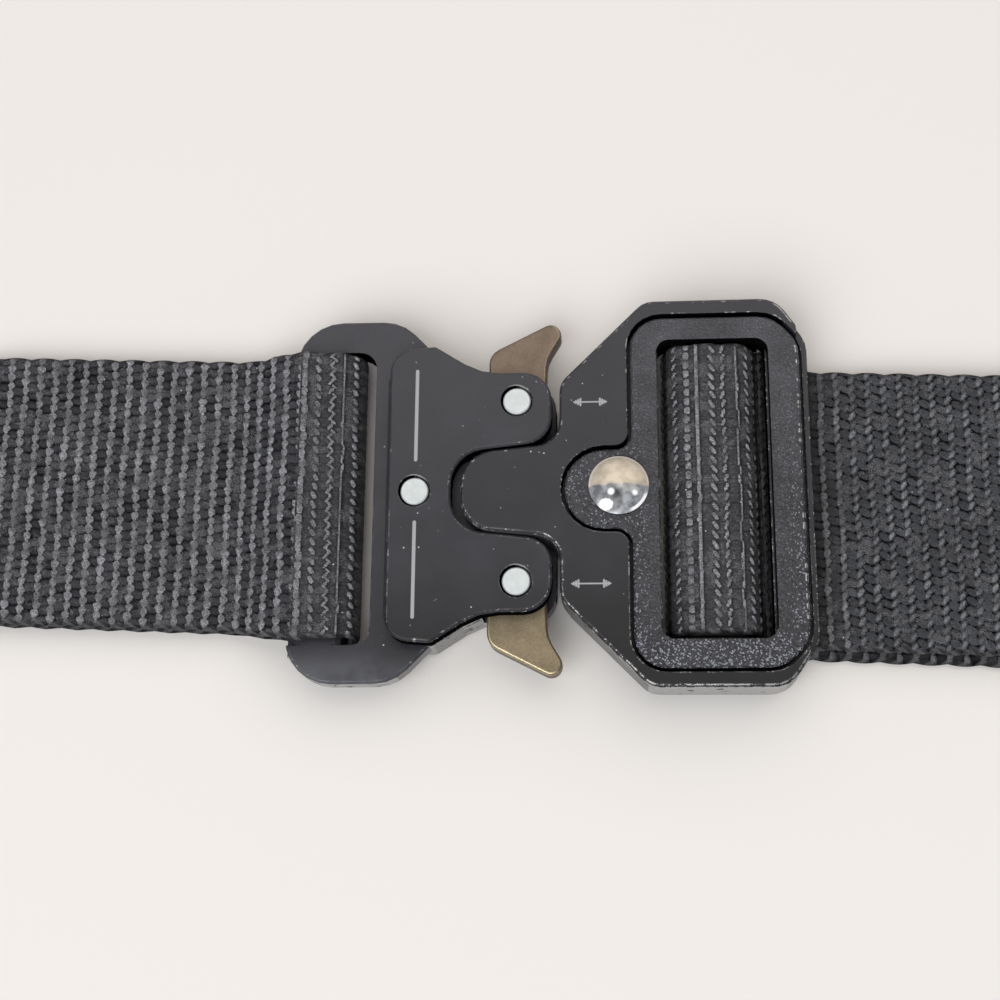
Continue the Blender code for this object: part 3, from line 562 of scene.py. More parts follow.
class Graph:
    """Short calls for the nodes of one material."""

    def __init__(self, name):
        self.material = bpy.data.materials.new(name)
        self.material.use_nodes = True
        self.tree = self.material.node_tree
        self.shader = self.tree.nodes["Principled BSDF"]

    def node(self, kind, *inputs, **settings):
        """Node with its settings, and (input, value) pairs fed in."""
        made = self.tree.nodes.new(kind)
        for key, value in settings.items():
            setattr(made, key, value)
        for key, value in inputs:
            self.feed(made.inputs[key], value)
        return made

    def feed(self, socket, value):
        if hasattr(value, "is_output"):
            self.tree.links.new(value, socket)
        elif socket.type == 'RGBA':
            socket.default_value = (*value, 1.0)
        else:
            socket.default_value = value

    def math(self, operation, *values, clamp=False):
        made = self.node("ShaderNodeMath", *enumerate(values), operation=operation, use_clamp=clamp)
        return made.outputs[0]

    def plus(self, first, second):
        return self.math('ADD', first, second)

    def less(self, first, second):
        return self.math('SUBTRACT', first, second)

    def times(self, *values):
        """Product of the values."""
        product = values[0]
        for value in values[1:]:
            product = self.math('MULTIPLY', product, value)
        return product

    def most(self, *values):
        """Largest of the values."""
        largest = values[0]
        for value in values[1:]:
            largest = self.math('MAXIMUM', largest, value)
        return largest

    def vector(self, operation, *values):
        made = self.node("ShaderNodeVectorMath", *enumerate(values), operation=operation)
        return made.outputs["Value"] if operation in ('DOT_PRODUCT', 'LENGTH') else made.outputs[0]

    def split(self, value):
        return self.node("ShaderNodeSeparateXYZ", (0, value)).outputs

    def join(self, *values):
        return self.node("ShaderNodeCombineXYZ", *enumerate(values)).outputs[0]

    def noise(self, where, scale, detail=2.0, rough=0.5, distort=0.0):
        made = self.node("ShaderNodeTexNoise", ("Vector", where), ("Scale", scale),
                         ("Detail", detail), ("Roughness", rough), ("Distortion", distort))
        return made.outputs["Fac"]

    def cells(self, where, scale, feature='F1'):
        return self.node("ShaderNodeTexVoronoi", ("Vector", where), ("Scale", scale), feature=feature)

    def span(self, value, low, high, to_low=0.0, to_high=1.0):
        """Smooth step from to_low to to_high while the value goes from low to high."""
        made = self.node("ShaderNodeMapRange", *enumerate((value, low, high, to_low, to_high)),
                         interpolation_type='SMOOTHSTEP', clamp=True)
        return made.outputs["Result"]

    def mix(self, share, first, second):
        """Colour between two colours."""
        made = self.node("ShaderNodeMix", (0, share), (6, first), (7, second), data_type='RGBA')
        return made.outputs[2]

    def blend(self, share, first, second):
        """Value between two values."""
        made = self.node("ShaderNodeMix", (0, share), (2, first), (3, second), data_type='FLOAT')
        return made.outputs[0]

    def shade(self, colour, factor):
        """Colour or vector times a factor."""
        made = self.node("ShaderNodeVectorMath", (0, colour), ("Scale", factor), operation='SCALE')
        return made.outputs[0]

    def bump(self, height, strength, distance, normal=None):
        made = self.node("ShaderNodeBump", ("Height", height), ("Strength", strength),
                         ("Distance", distance))
        if normal is not None:
            self.feed(made.inputs["Normal"], normal)
        return made.outputs[0]

    def attribute(self, name):
        return self.node("ShaderNodeAttribute", attribute_name=name).outputs["Fac"]

    def place(self):
        """Place on the object in mm."""
        return self.shade(self.node("ShaderNodeTexCoord").outputs["Object"], 1 / MM)

    def normal(self):
        return self.node("ShaderNodeTexCoord").outputs["Normal"]

    def upright(self):
        """1 on walls and 0 on level faces."""
        up = self.math('ABSOLUTE', self.split(self.normal())[2])
        return self.span(up, 0.45, 0.7, 1.0, 0.0)

    def set(self, **values):
        for key, value in values.items():
            self.feed(self.shader.inputs[key.replace("_", " ")], value)


# Colours of the webbing, linear; a pair is a dim and a bright one
# The next three are painted shade in the gaps between the yarns
PIT_SHADE = (0.0012, 0.0012, 0.0016)
SLIT_SHADOWS = (0.0015, 0.0015, 0.0020)
HOLLOW_SHADE = (0.0020, 0.0020, 0.0026)
SLACK_PADS = (0.023, 0.025, 0.030), (0.040, 0.043, 0.050)
TIGHT_PADS = (0.030, 0.031, 0.036), (0.044, 0.046, 0.051)
# The floats are painted brighter than the pads: the yarn's colour with a painted highlight
SLACK_LIT_FLOATS = (0.086, 0.089, 0.100), (0.136, 0.142, 0.157)
TIGHT_LIT_FLOATS = (0.130, 0.133, 0.145), (0.186, 0.190, 0.208)
# painted shade on floats that lie low
SUNK_FLOAT_SHADE = (0.030, 0.031, 0.034)
FUZZ = (0.150, 0.152, 0.165)
HAIRS = (0.19, 0.19, 0.20)
LINT = (0.5, 0.5, 0.52)
# the strap's edge painted dark, with painted highlights on its twists
SELVEDGE_SHADE_AND_GLINT = (0.004, 0.004, 0.005), (0.060, 0.061, 0.066)


def crown_away(g, start, across, row):
    """Squared share of the way from the middle of the nearest crown to its rim."""
    x0, y0, long, wide, lean = row
    turned = g.math('DIVIDE', g.less(across, y0), CORD_PITCH)
    cell = g.math('FLOOR', g.plus(turned, 0.5))
    dx = g.less(start, x0)
    dy = g.times(g.less(turned, cell), CORD_PITCH)
    lean = g.math('RADIANS', lean)
    cosine, sine = g.math('COSINE', lean), g.math('SINE', lean)
    p = g.plus(g.times(dx, cosine), g.times(dy, sine))
    q = g.less(g.times(dy, cosine), g.times(dx, sine))
    return g.plus(g.math('POWER', g.math('DIVIDE', p, long), 2.0),
                  g.math('POWER', g.math('DIVIDE', q, wide), 2.0))


def plain_crown(g, start, across, tight, rows):
    """Height of one kind of yarn where the mesh has no carved weave."""
    *row, tall, _ = (g.blend(tight, slack, taut) for slack, taut in zip(*rows))
    inside = g.math('SUBTRACT', 1.0, crown_away(g, start, across, row), clamp=True)
    return g.times(g.math('POWER', inside, CROWN_POWER), tall)


def loose_fibres(g, colour, where, worn, speck):
    """Fuzz, single hairs and specks of lint over the webbing."""
    fuzz = g.times(g.span(worn, 0.50, 0.60), g.span(speck, 0.50, 0.60), 0.55)
    colour = g.mix(fuzz, colour, FUZZ)
    bend_line = g.noise(where, 0.9, 2.0, 0.6, 1.8)
    hair = g.span(g.math('ABSOLUTE', g.less(bend_line, 0.5)), 0.004, 0.012, 1.0, 0.0)
    colour = g.mix(g.times(hair, g.span(worn, 0.52, 0.58), 0.6), colour, HAIRS)
    lint = g.cells(where, 0.9)
    return g.mix(g.times(g.span(lint.outputs["Distance"], 0.05, 0.12, 1.0, 0.0),
                         g.span(g.split(lint.outputs["Color"])[0], 0.93, 0.95)), colour, LINT)


def webbing_material():
    """Black nylon: dark pads, floats painted brighter as highlights and painted shade between them."""
    g = Graph("black_webbing")
    along, across, rim = g.attribute("along"), g.attribute("across"), g.attribute("rim")
    carved, tight, on_bar = g.attribute("carved"), g.attribute("tight"), g.attribute("on_bar")
    column = g.math('FLOOR', g.math('DIVIDE', along, RIB_PITCH))
    start = g.less(along, g.times(column, RIB_PITCH))
    parity = g.times(g.math('MODULO', g.math('ABSOLUTE', column), 2.0), CORD_PITCH / 2)
    staggered = g.plus(across, parity)
    pads = g.blend(carved, plain_crown(g, start, staggered, tight, PAD), g.attribute("pads"))
    floats = g.blend(carved, plain_crown(g, start, staggered, tight, FLOAT), g.attribute("floats"))
    over = g.span(g.less(floats, pads), -0.03, 0.05)
    tone = g.blend(carved, 0.5, g.attribute("tone"))
    # Painted shade on the tight stretch of the tail beyond the slide bar, beside the buckle
    shade_beyond_bar = g.times(tight, g.span(along, 0.0, 1.0), g.less(1.0, on_bar))

    where = g.join(along, across, 0.0)
    grain = g.noise(where, 3.6, 2.0, 0.7)
    speck = g.noise(where, 7.5, 1.0, 0.6)
    patch = g.noise(where, 0.10, 2.0)
    worn = g.noise(where, 0.45, 3.0, 0.6)

    # Painted shade in the pits between the pads
    pit = g.span(pads, 0.05, 0.17)
    pad_colour = g.mix(tight, g.mix(tone, *SLACK_PADS), g.mix(g.span(worn, 0.4, 0.6), *TIGHT_PADS))
    pad_colour = g.mix(pit, PIT_SHADE, pad_colour)
    # Painted shadow slits between the pads of the tight weave
    slit_shadow = g.span(crown_away(g, start, staggered, SLIT_SHADOW_SHAPE), 0.3, 1.2, 1.0, 0.0)
    slit_shadow = g.times(slit_shadow, tight, g.span(speck, 0.36, 0.52, 0.35, 1.0), g.blend(on_bar, 1.0, 0.3))
    pad_colour = g.mix(slit_shadow, pad_colour, SLIT_SHADOWS)
    # Painted shade round the yarns on a bar
    pad_colour = g.mix(g.times(g.attribute("hollow_shade"), 0.85), pad_colour, HOLLOW_SHADE)
    pad_colour = g.shade(pad_colour, g.blend(shade_beyond_bar, 1.0, 0.55))

    # Floats painted brighter as highlights
    dim, bright = (g.mix(tight, slack, taut) for slack, taut in zip(SLACK_LIT_FLOATS, TIGHT_LIT_FLOATS))
    float_colour = g.shade(g.mix(tone, dim, bright), g.span(worn, 0.44, 0.62, 1.10, 0.58))
    # Painted shade on the floats where they lie low
    crest = g.span(g.plus(floats, g.times(tight, 0.10)), 0.12, 0.34)
    float_colour = g.mix(crest, SUNK_FLOAT_SHADE, float_colour)

    lively = g.times(g.span(grain, 0.34, 0.66, 0.55, 1.50), g.span(speck, 0.35, 0.65, 0.70, 1.32),
                     g.span(patch, 0.3, 0.7, 0.88, 1.14))
    colour = g.shade(g.mix(over, pad_colour, float_colour), lively)
    colour = loose_fibres(g, colour, where, worn, speck)
    colour = g.shade(colour, g.blend(shade_beyond_bar, 1.0, 0.46))
    # Painted highlights on the twists of the edge, dark between them
    twist = g.math('SINE', g.times(g.plus(along, g.times(rim, 1.6)), math.tau / RIB_PITCH))
    lit_selvedge = g.mix(g.span(twist, -0.3, 0.8), *SELVEDGE_SHADE_AND_GLINT)
    colour = g.mix(g.times(g.span(rim, 0.25, 0.75, 1.0, 0.0), 0.8), colour, lit_selvedge)

    open_pit = g.most(pit, over)
    g.set(Base_Color=colour, Roughness=g.span(grain, 0.3, 0.7, 0.5, 0.7),
          Specular_IOR_Level=g.times(open_pit, 0.24), Sheen_Weight=g.times(open_pit, 0.03),
          Sheen_Roughness=0.5)
    rib_bump = g.bump(g.most(pads, floats), g.less(1.0, carved), MM)
    fibre = g.noise(g.join(g.times(along, 1.4), g.times(across, 4.5), 0.0), 2.6)
    g.set(Normal=g.bump(g.plus(fibre, speck), 0.6, 0.10 * MM, rib_bump))
    return g.material


# Colours of the plates, linear
DARK_PAINT = (0.0160, 0.0165, 0.0225)
PALE_PAINT = (0.0255, 0.0265, 0.0345)
# painted light, mixed in towards the top of each plate
PAINTED_TOP_LIGHT = (0.051, 0.052, 0.061)
# painted sheen near the lower edge
PAINTED_SHEEN = (0.105, 0.112, 0.130)
# painted shade on walls
WALL_SHADE = (0.0025, 0.0025, 0.0030)
# painted shadow in the rivet holes and beside the cover's left edge
SHADOW_BLACK = (0.0015, 0.0015, 0.0018)
DUST = (0.42, 0.42, 0.44)
# edges worn and painted as highlights
WORN_AND_LIT_EDGE_PAINT = (0.22, 0.22, 0.23)
BARE_METAL = (0.26, 0.26, 0.26), (0.50, 0.50, 0.50)
# chips, partly painted edge highlights
CHIPS_AND_EDGE_HIGHLIGHTS = (0.66, 0.66, 0.67)
SILVER_MARK = (0.33, 0.335, 0.35)
# painted highlight round each rivet hole
HOLE_RIM_HIGHLIGHT = (0.30, 0.30, 0.31)
WRINKLE_PAINT = (0.026, 0.027, 0.032), (0.040, 0.042, 0.049)
WRINKLE_FLECKS = (0.36, 0.38, 0.45)
WRINKLE_WORN_AND_LIT_EDGE = (0.20, 0.20, 0.21)
WRINKLE_CHIPS = (0.88, 0.88, 0.88)
ADJUSTER_MIDDLE = SHIFT + 19.7   # of the insert along X


def stroke(g, flat, row):
    """1 within the half width of a straight mark from one point to another."""
    x0, y0, x1, y1, width, soft = row
    run = (x1 - x0, y1 - y0, 0.0)
    from_start = g.vector('SUBTRACT', flat, (SHIFT + x0, y0, 0.0))
    share = g.math('DIVIDE', g.vector('DOT_PRODUCT', from_start, run),
                   run[0] ** 2 + run[1] ** 2, clamp=True)
    away = g.vector('LENGTH', g.vector('SUBTRACT', from_start, g.shade(run, share)))
    return g.span(away, width - soft, width + soft, 1.0, 0.0)


def arrow_strokes(x_low, x_high, y):
    """Plain double arrow along X with filled heads, as rows for stroke()."""
    rows = [(x_low, y, x_high, y, *ARROW_SHAFT)]
    for tip, inward in ((x_low, 1), (x_high, -1)):
        for reach, half in ARROW_STROKES:
            x = tip + inward * reach
            rows.append((x, y - half * ARROW_HEAD, x, y + half * ARROW_HEAD, *ARROW_STROKE))
    return rows


def rivet_rings(g, flat, places):
    """Painted shadow crescent in each rivet hole, and a thin painted highlight arc beyond each on the
    side towards the light.
    """
    hole_shadows = []
    lit_arcs = []
    for x, y in places:
        middle = (SHIFT + x + HOLE_OFFSET[0], y + HOLE_OFFSET[1], 0.0)
        offset = g.vector('SUBTRACT', flat, middle)
        beyond = g.less(g.vector('LENGTH', offset), HOLE_RADIUS)
        towards = g.vector('DOT_PRODUCT', g.vector('NORMALIZE', offset), HOLE_LIT_WAY)
        hole_shadows.append(g.span(beyond, 0.0, 0.08, 1.0, 0.0))
        lit_arcs.append(g.times(g.span(beyond, 0.02, 0.10), g.span(beyond, 0.14, 0.22, 1.0, 0.0),
                            g.span(towards, 0.2, 0.9)))
    return g.most(*hole_shadows), g.most(*lit_arcs)


def flecks(g, place, scale, angle, stretch, radius, rare):
    """Thin bright flecks that lie about one direction."""
    turned = g.node("ShaderNodeVectorRotate", ("Vector", place), ("Angle", math.radians(angle)),
                    rotation_type='Z_AXIS')
    x, y, z = g.split(turned.outputs[0])
    made = g.cells(g.join(x, g.times(y, stretch), z), scale)
    dot = g.span(made.outputs["Distance"], radius * 0.5, radius, 1.0, 0.0)
    return g.times(dot, g.span(g.split(made.outputs["Color"])[0], rare, rare + 0.03))


def bent_edge(g, radius):
    """Bevel node for a radius in mm, and how far it turns the face near an edge."""
    bevel = g.node("ShaderNodeBevel", ("Radius", radius * MM), samples=4)
    true_normal = g.node("ShaderNodeNewGeometry").outputs["True Normal"]
    bent = g.less(1.0, g.vector('DOT_PRODUCT', bevel.outputs[0], true_normal))
    return bevel.outputs[0], bent


def chip_and_highlight_share(g, place, outward, up, bevel, bent, chips):
    """Chips on the outer edges, partly bare metal and partly painted edge highlight, more along the
    lower one and at the upper right corner.
    """
    x, y, _ = g.split(place)
    ragged = g.plus(g.noise(place, 1.3, 4.0, 0.75), (chips - 1.0) * 0.10)
    low_side = g.span(y, -12.0, -2.0, 1.0, 0.35)
    ragged = g.plus(ragged, g.times(g.less(low_side, 1.0), 0.06))
    low_edge = g.times(g.span(y, -21.5, -23.0), g.span(g.split(bevel)[1], -0.05, -0.25))
    ragged = g.plus(ragged, g.times(low_edge, 0.08 * chips))
    corner = g.times(g.span(x, SHIFT + 27.8, SHIFT + 28.6), g.span(y, 22.8, 23.5))
    ragged = g.plus(ragged, g.times(corner, 0.12 * chips))
    outside = g.span(g.most(outward, g.times(up, 0.3)), -0.1, 0.2)
    return g.times(g.span(bent, 0.015, 0.06), outside, g.span(ragged, 0.53, 0.57))


def paint_material(name, tone, low, chips, walls, marks, rivets=(), mark=SILVER_MARK, sheen=0.0):
    """Satin black paint, with chips and painted highlights on the outer edges and walls worn to bare
    metal.

    tone is painted light and low painted shade near the lower end; chips and walls say how much of
    them is bare.
    """
    g = Graph(name)
    place = g.place()
    x, y, _ = g.split(place)
    _, outward, up = g.split(g.normal())
    outward = g.times(outward, g.math('SIGN', y))
    upright = g.upright()
    patch = g.noise(place, 0.16, 3.0)
    grain = g.noise(place, 5.0, 3.0, 0.7)
    wear = g.noise(place, 0.5, 4.0, 0.6)
    bevel, bent = bent_edge(g, 0.32)

    paint = g.mix(g.span(patch, 0.3, 0.75), DARK_PAINT, PALE_PAINT)
    # Painted light: lighter towards the top; tone and low scale the paint as painted light and painted
    # shade at the lower end
    paint = g.mix(g.times(g.span(y, -18.0, 24.0), 0.5), paint, PAINTED_TOP_LIGHT)
    paint = g.shade(paint, g.times(g.blend(g.span(y, -24.0, -6.0), low, 1.0), tone))
    paint = g.shade(paint, g.span(grain, 0.2, 0.8, 0.80, 1.20))
    # Painted sheen near the lower edge
    sheen_share = g.times(g.span(y, -20.0, -24.5), g.span(patch, 0.35, 0.6, 0.4, 1.0), sheen)
    paint = g.mix(sheen_share, paint, PAINTED_SHEEN)
    # Painted shade on the walls, except at the male plate's right end
    dark = g.times(upright, g.span(x, SHIFT + 29.0, SHIFT + 30.0, 1.0, 0.0))
    paint = g.mix(dark, paint, WALL_SHADE)

    dust = g.most(flecks(g, place, 0.62, 20.0, 1.0, 0.09, 0.74),
                  g.times(flecks(g, place, 1.3, -35.0, 0.6, 0.12, 0.87), 0.6),
                  g.times(flecks(g, place, 0.35, 62.0, 0.18, 0.035, 0.84), 0.40))
    paint = g.mix(g.times(dust, g.less(1.0, upright)), paint, DUST)
    # Edges worn and painted as highlights, more on the lower side
    worn_and_lit_edge = g.times(g.span(bent, 0.005, 0.05), g.span(wear, 0.44, 0.60), g.span(up, 0.5, 0.9))
    paint = g.mix(g.times(worn_and_lit_edge, g.span(y, -3.0, 1.0, 0.50, 0.14)), paint, WORN_AND_LIT_EDGE_PAINT)

    bare_wall = g.times(upright, g.span(outward, 0.15, 0.45), g.span(wear, 0.30, 0.42), walls)
    chip = chip_and_highlight_share(g, place, outward, up, bevel, bent, chips)
    bare = g.most(bare_wall, chip)
    metal = g.mix(g.noise(place, 2.2, 3.0), *BARE_METAL)
    # Bare walls that face straight out are painted brighter: a painted reflection of the floor
    metal = g.shade(metal, g.span(outward, 0.75, 0.95, 0.45, 1.0))
    colour = g.mix(bare, paint, g.mix(chip, metal, CHIPS_AND_EDGE_HIGHLIGHTS))

    flat = g.join(x, y, 0.0)
    for row in marks:
        drawn = g.times(stroke(g, flat, row), g.span(up, 0.9, 0.98), g.span(grain, 0.2, 0.5, 0.6, 1.0))
        colour = g.mix(drawn, colour, mark)
    if rivets:
        # Painted shadow in each rivet hole and a painted highlight arc beyond it
        hole_shadows, lit_arcs = rivet_rings(g, flat, rivets)
        colour = g.mix(hole_shadows, g.mix(lit_arcs, colour, HOLE_RIM_HIGHLIGHT), SHADOW_BLACK)
        dark = g.most(dark, hole_shadows)
    shine = g.most(g.less(1.0, dark), bare)
    g.set(Base_Color=colour, Roughness=g.blend(bare, g.span(grain, 0.3, 0.7, 0.38, 0.48), 0.42),
          Metallic=g.times(bare, g.blend(chip, 0.75, 0.30)), Specular_IOR_Level=g.times(shine, 0.40),
          Normal=g.bump(grain, 0.15, 0.04 * MM, bevel))
    return g.material


def insert_material():
    """Coarse wrinkle paint with bright flecks, thicker towards its rim, and a smoother top painted
    lighter, with painted shade on the walls.
    """
    g = Graph("black_wrinkle")
    place = g.place()
    x, y, _ = g.split(place)
    upright = g.upright()
    lumps = g.noise(place, 2.4, 4.0, 0.65, 0.5)
    ridges = g.span(g.cells(place, 2.0, 'DISTANCE_TO_EDGE').outputs["Distance"], 0.0, 0.25, 1.0, 0.0)
    patch = g.noise(place, 0.25, 3.0)
    bevel, bent = bent_edge(g, 0.3)

    paint = g.mix(g.span(patch, 0.3, 0.7), *WRINKLE_PAINT)
    # Painted light: the top is painted lighter as well as smoother, the bottom darker
    smooth = g.span(y, 4.0, 20.0, 0.0, 0.75)
    paint = g.shade(paint, g.blend(smooth, g.span(lumps, 0.25, 0.75, 0.45, 1.55), 1.60))
    paint = g.shade(paint, g.span(y, -15.0, -19.0, 1.0, 0.70))

    side = g.math('ABSOLUTE', g.less(x, ADJUSTER_MIDDLE))
    rim = g.most(g.span(y, -16.0, -22.0), g.span(side, 7.4, 11.5),
                 g.times(g.span(y, 19.5, 23.0), 0.4), g.times(g.span(patch, 0.45, 0.65), 0.55))
    fine = g.most(flecks(g, place, 3.2, 28.0, 0.50, 0.32, 0.30),
                  flecks(g, place, 2.8, 118.0, 0.50, 0.30, 0.40))
    broad = g.most(flecks(g, place, 2.1, -28.0, 0.42, 0.20, 0.48),
                   flecks(g, place, 1.8, 12.0, 0.30, 0.14, 0.55))
    bright = g.most(g.times(fine, g.span(rim, 0.1, 0.9, 0.25, 0.85)),
                    g.times(broad, g.span(rim, 0.2, 0.9, 0.22, 1.0)))
    bright = g.times(bright, g.span(y, 20.0, -20.0, 0.20, 0.9))
    grit = g.most(flecks(g, place, 2.6, 80.0, 0.75, 0.30, 0.30),
                  flecks(g, place, 3.4, -60.0, 0.45, 0.34, 0.45))
    grit = g.times(grit, g.span(y, -19.2, -21.4, 0.0, 0.62))
    paint = g.mix(g.most(bright, grit), paint, WRINKLE_FLECKS)
    # Painted shade on the walls
    paint = g.mix(upright, paint, WALL_SHADE)

    right = g.span(x, SHIFT + 28.4, SHIFT + 30.2)
    worn = g.noise(place, 2.4, 3.0, 0.75)
    dots = g.span(g.cells(g.join(0.0, y, 0.0), 1.2).outputs["Distance"], 0.34, 0.46, 1.0, 0.0)
    chip = g.times(g.span(bent, 0.010, 0.03), right, dots)
    # Edges worn and painted as highlights
    worn_and_lit_edge = g.times(g.span(bent, 0.005, 0.05), g.span(worn, 0.42, 0.62), g.blend(right, 0.25, 0.10))
    colour = g.mix(chip, g.mix(worn_and_lit_edge, paint, WRINKLE_WORN_AND_LIT_EDGE), WRINKLE_CHIPS)
    height = g.less(lumps, g.times(ridges, 0.35))
    g.set(Base_Color=colour, Roughness=g.span(lumps, 0.3, 0.7, 0.40, 0.56),
          Specular_IOR_Level=g.span(upright, 0.0, 1.0, 0.5, 0.05),
          Normal=g.bump(height, 0.9, 0.20 * MM, bevel))
    return g.material


# Colours of the bare metals, linear
GOLDEN = (0.205, 0.170, 0.112), (0.270, 0.224, 0.150)
BROWN = (0.165, 0.130, 0.100), (0.215, 0.172, 0.138)
# painted shade on the walls
BRASS_WALL_SHADE = (0.050, 0.030, 0.018)
BRASS_WORN_AND_LIT_EDGE = (0.86, 0.74, 0.48)
RIVET_FACE = (0.54, 0.59, 0.60), (0.60, 0.65, 0.66)
SLIDE_STEEL = (0.020, 0.020, 0.021), (0.030, 0.030, 0.031)
# The dome's colours are painted reflections and highlights
DOME_WARM_REFLECTION = (0.50, 0.44, 0.35), (0.62, 0.55, 0.45)
DOME_SILVER_REFLECTION = (0.24, 0.25, 0.27), (0.50, 0.52, 0.54)
DOME_GLARE = (0.93, 0.95, 0.98)
DOME_RIM_HIGHLIGHT = (0.86, 0.82, 0.77)
DOME_GLARE_AT = (-1.8, -2.75, 0.0)                      # from the dome's middle, in mm
DOME_KEY_REFLECTION_AT = (-0.9, -2.3, 0.0)
DOME_HIGHLIGHT_SPOTS = ((-1.0, -1.15, 0.62), (2.1, -1.3, 0.55))   # the third value is the radius
DOME_GLINT_WAY = (0.74, -0.67, 0.0)


def brass_material():
    """Aged brass, browner on the upper lever, with worn edges also painted as highlights, mostly on
    the lower one, and painted shade on the walls.
    """
    g = Graph("aged_brass")
    place = g.place()
    _, y, _ = g.split(place)
    up = g.split(g.normal())[2]
    patch = g.span(g.noise(place, 0.35, 4.0, 0.6), 0.3, 0.7)
    grain = g.noise(place, 5.0, 4.0, 0.75)
    colour = g.mix(g.span(y, -2.0, 2.0), g.mix(patch, *GOLDEN), g.mix(patch, *BROWN))
    colour = g.shade(colour, g.span(grain, 0.25, 0.75, 0.72, 1.22))
    # Painted shade on the walls, more on the upper lever
    colour = g.mix(g.times(g.upright(), g.span(y, -2.0, 2.0, 0.45, 0.80)), colour, BRASS_WALL_SHADE)
    bevel, bent = bent_edge(g, 0.25)
    bevel_x, bevel_y, _ = g.split(bevel)
    # Edges worn and painted as highlights: facing lower left, mostly on the lower lever, and the upper
    # lever's right edge
    low_left = g.span(g.plus(bevel_y, g.times(bevel_x, 0.8)), -0.15, 0.0, 1.0, 0.0)
    edge = g.times(g.span(bent, 0.015, 0.06), g.span(up, 0.2, 0.6))
    right = g.times(g.span(bevel_x, 0.08, 0.25), g.span(y, 0.0, 2.0, 0.0, 0.55))
    worn_and_lit_edge = g.most(g.times(low_left, g.span(y, 4.0, -4.0, 0.25, 1.0)), right)
    colour = g.mix(g.times(edge, worn_and_lit_edge), colour, BRASS_WORN_AND_LIT_EDGE)
    g.set(Base_Color=colour, Roughness=g.span(grain, 0.3, 0.7, 0.38, 0.55), Metallic=0.85,
          Normal=g.bump(grain, 0.35, 0.05 * MM, bevel))
    return g.material


def metal_material(name, colours, scale, shine):
    """Plain metal with soft patches of two colours."""
    g = Graph(name)
    place = g.place()
    patch = g.noise(place, scale, 3.0)
    grain = g.noise(place, 8.0, 3.0)
    g.set(Base_Color=g.mix(g.span(patch, 0.3, 0.7), *colours), Metallic=shine,
          Roughness=g.span(grain, 0.3, 0.7, 0.425, 0.575), Normal=g.bump(grain, 0.08, 0.03 * MM))
    return g.material


def dome_material():
    """Plated dome painted with reflections: warmer above a level line, patchy silver below it with
    painted glare, highlights and a dimmed patch where the key light reflects.
    """
    g = Graph("dome_plating")
    place = g.place()
    x, y, _ = g.split(place)
    patch = g.noise(place, 0.9, 3.0)
    grain = g.noise(place, 8.0, 3.0)
    patchy = g.span(patch, 0.35, 0.65)
    # Painted reflection: warmer above a level line, silver below it
    warm_reflection = g.span(g.plus(y, g.times(g.less(patch, 0.5), 0.6)), -0.05, 0.35)
    offset = g.vector('SUBTRACT', g.join(x, y, 0.0), (SHIFT + DOME_X, DOME_Y, 0.0))
    reach = g.vector('LENGTH', offset)

    # Painted glare of the key light
    glare = g.vector('MULTIPLY', g.vector('SUBTRACT', offset, DOME_GLARE_AT), (1.0, 1.35, 1.0))
    glare = g.plus(g.vector('LENGTH', glare), g.times(g.less(grain, 0.5), 0.8))
    glare = g.span(glare, 0.75, 1.10, 1.0, 0.0)
    # The silver is painted darker round the glare, where the key light's reflection falls
    lit = g.vector('LENGTH', g.vector('SUBTRACT', offset, DOME_KEY_REFLECTION_AT))
    lit = g.times(g.span(lit, 1.1, 2.0, 1.0, 0.0), g.less(1.0, glare))
    silver = g.shade(g.mix(patchy, *DOME_SILVER_REFLECTION), g.blend(lit, 1.0, 0.22))
    # Painted highlights: a crescent on the rim and two spots
    towards = g.vector('DOT_PRODUCT', g.vector('NORMALIZE', offset), DOME_GLINT_WAY)
    crescent = g.times(g.span(reach, 3.50, 3.66), g.span(towards, 0.86, 0.96))
    bright = g.most(g.times(glare, 0.6), crescent)
    for spot_x, spot_y, radius in DOME_HIGHLIGHT_SPOTS:
        away = g.vector('LENGTH', g.vector('SUBTRACT', offset, (spot_x, spot_y, 0.0)))
        bright = g.most(bright, g.span(away, radius * 0.3, radius, 1.0, 0.0))
    silver = g.mix(bright, silver, DOME_GLARE)
    # Painted highlight ring on the rim of the upper part
    ring = g.times(g.span(reach, 3.62, 3.76), warm_reflection, 0.5)
    colour = g.mix(ring, g.mix(warm_reflection, silver, g.mix(patchy, *DOME_WARM_REFLECTION)), DOME_RIM_HIGHLIGHT)
    g.set(Base_Color=colour, Roughness=g.span(grain, 0.3, 0.7, 0.30, 0.36),
          Metallic=g.blend(warm_reflection, g.blend(bright, 0.85, 0.10), 0.35),
          Normal=g.bump(grain, 0.08, 0.03 * MM))
    return g.material


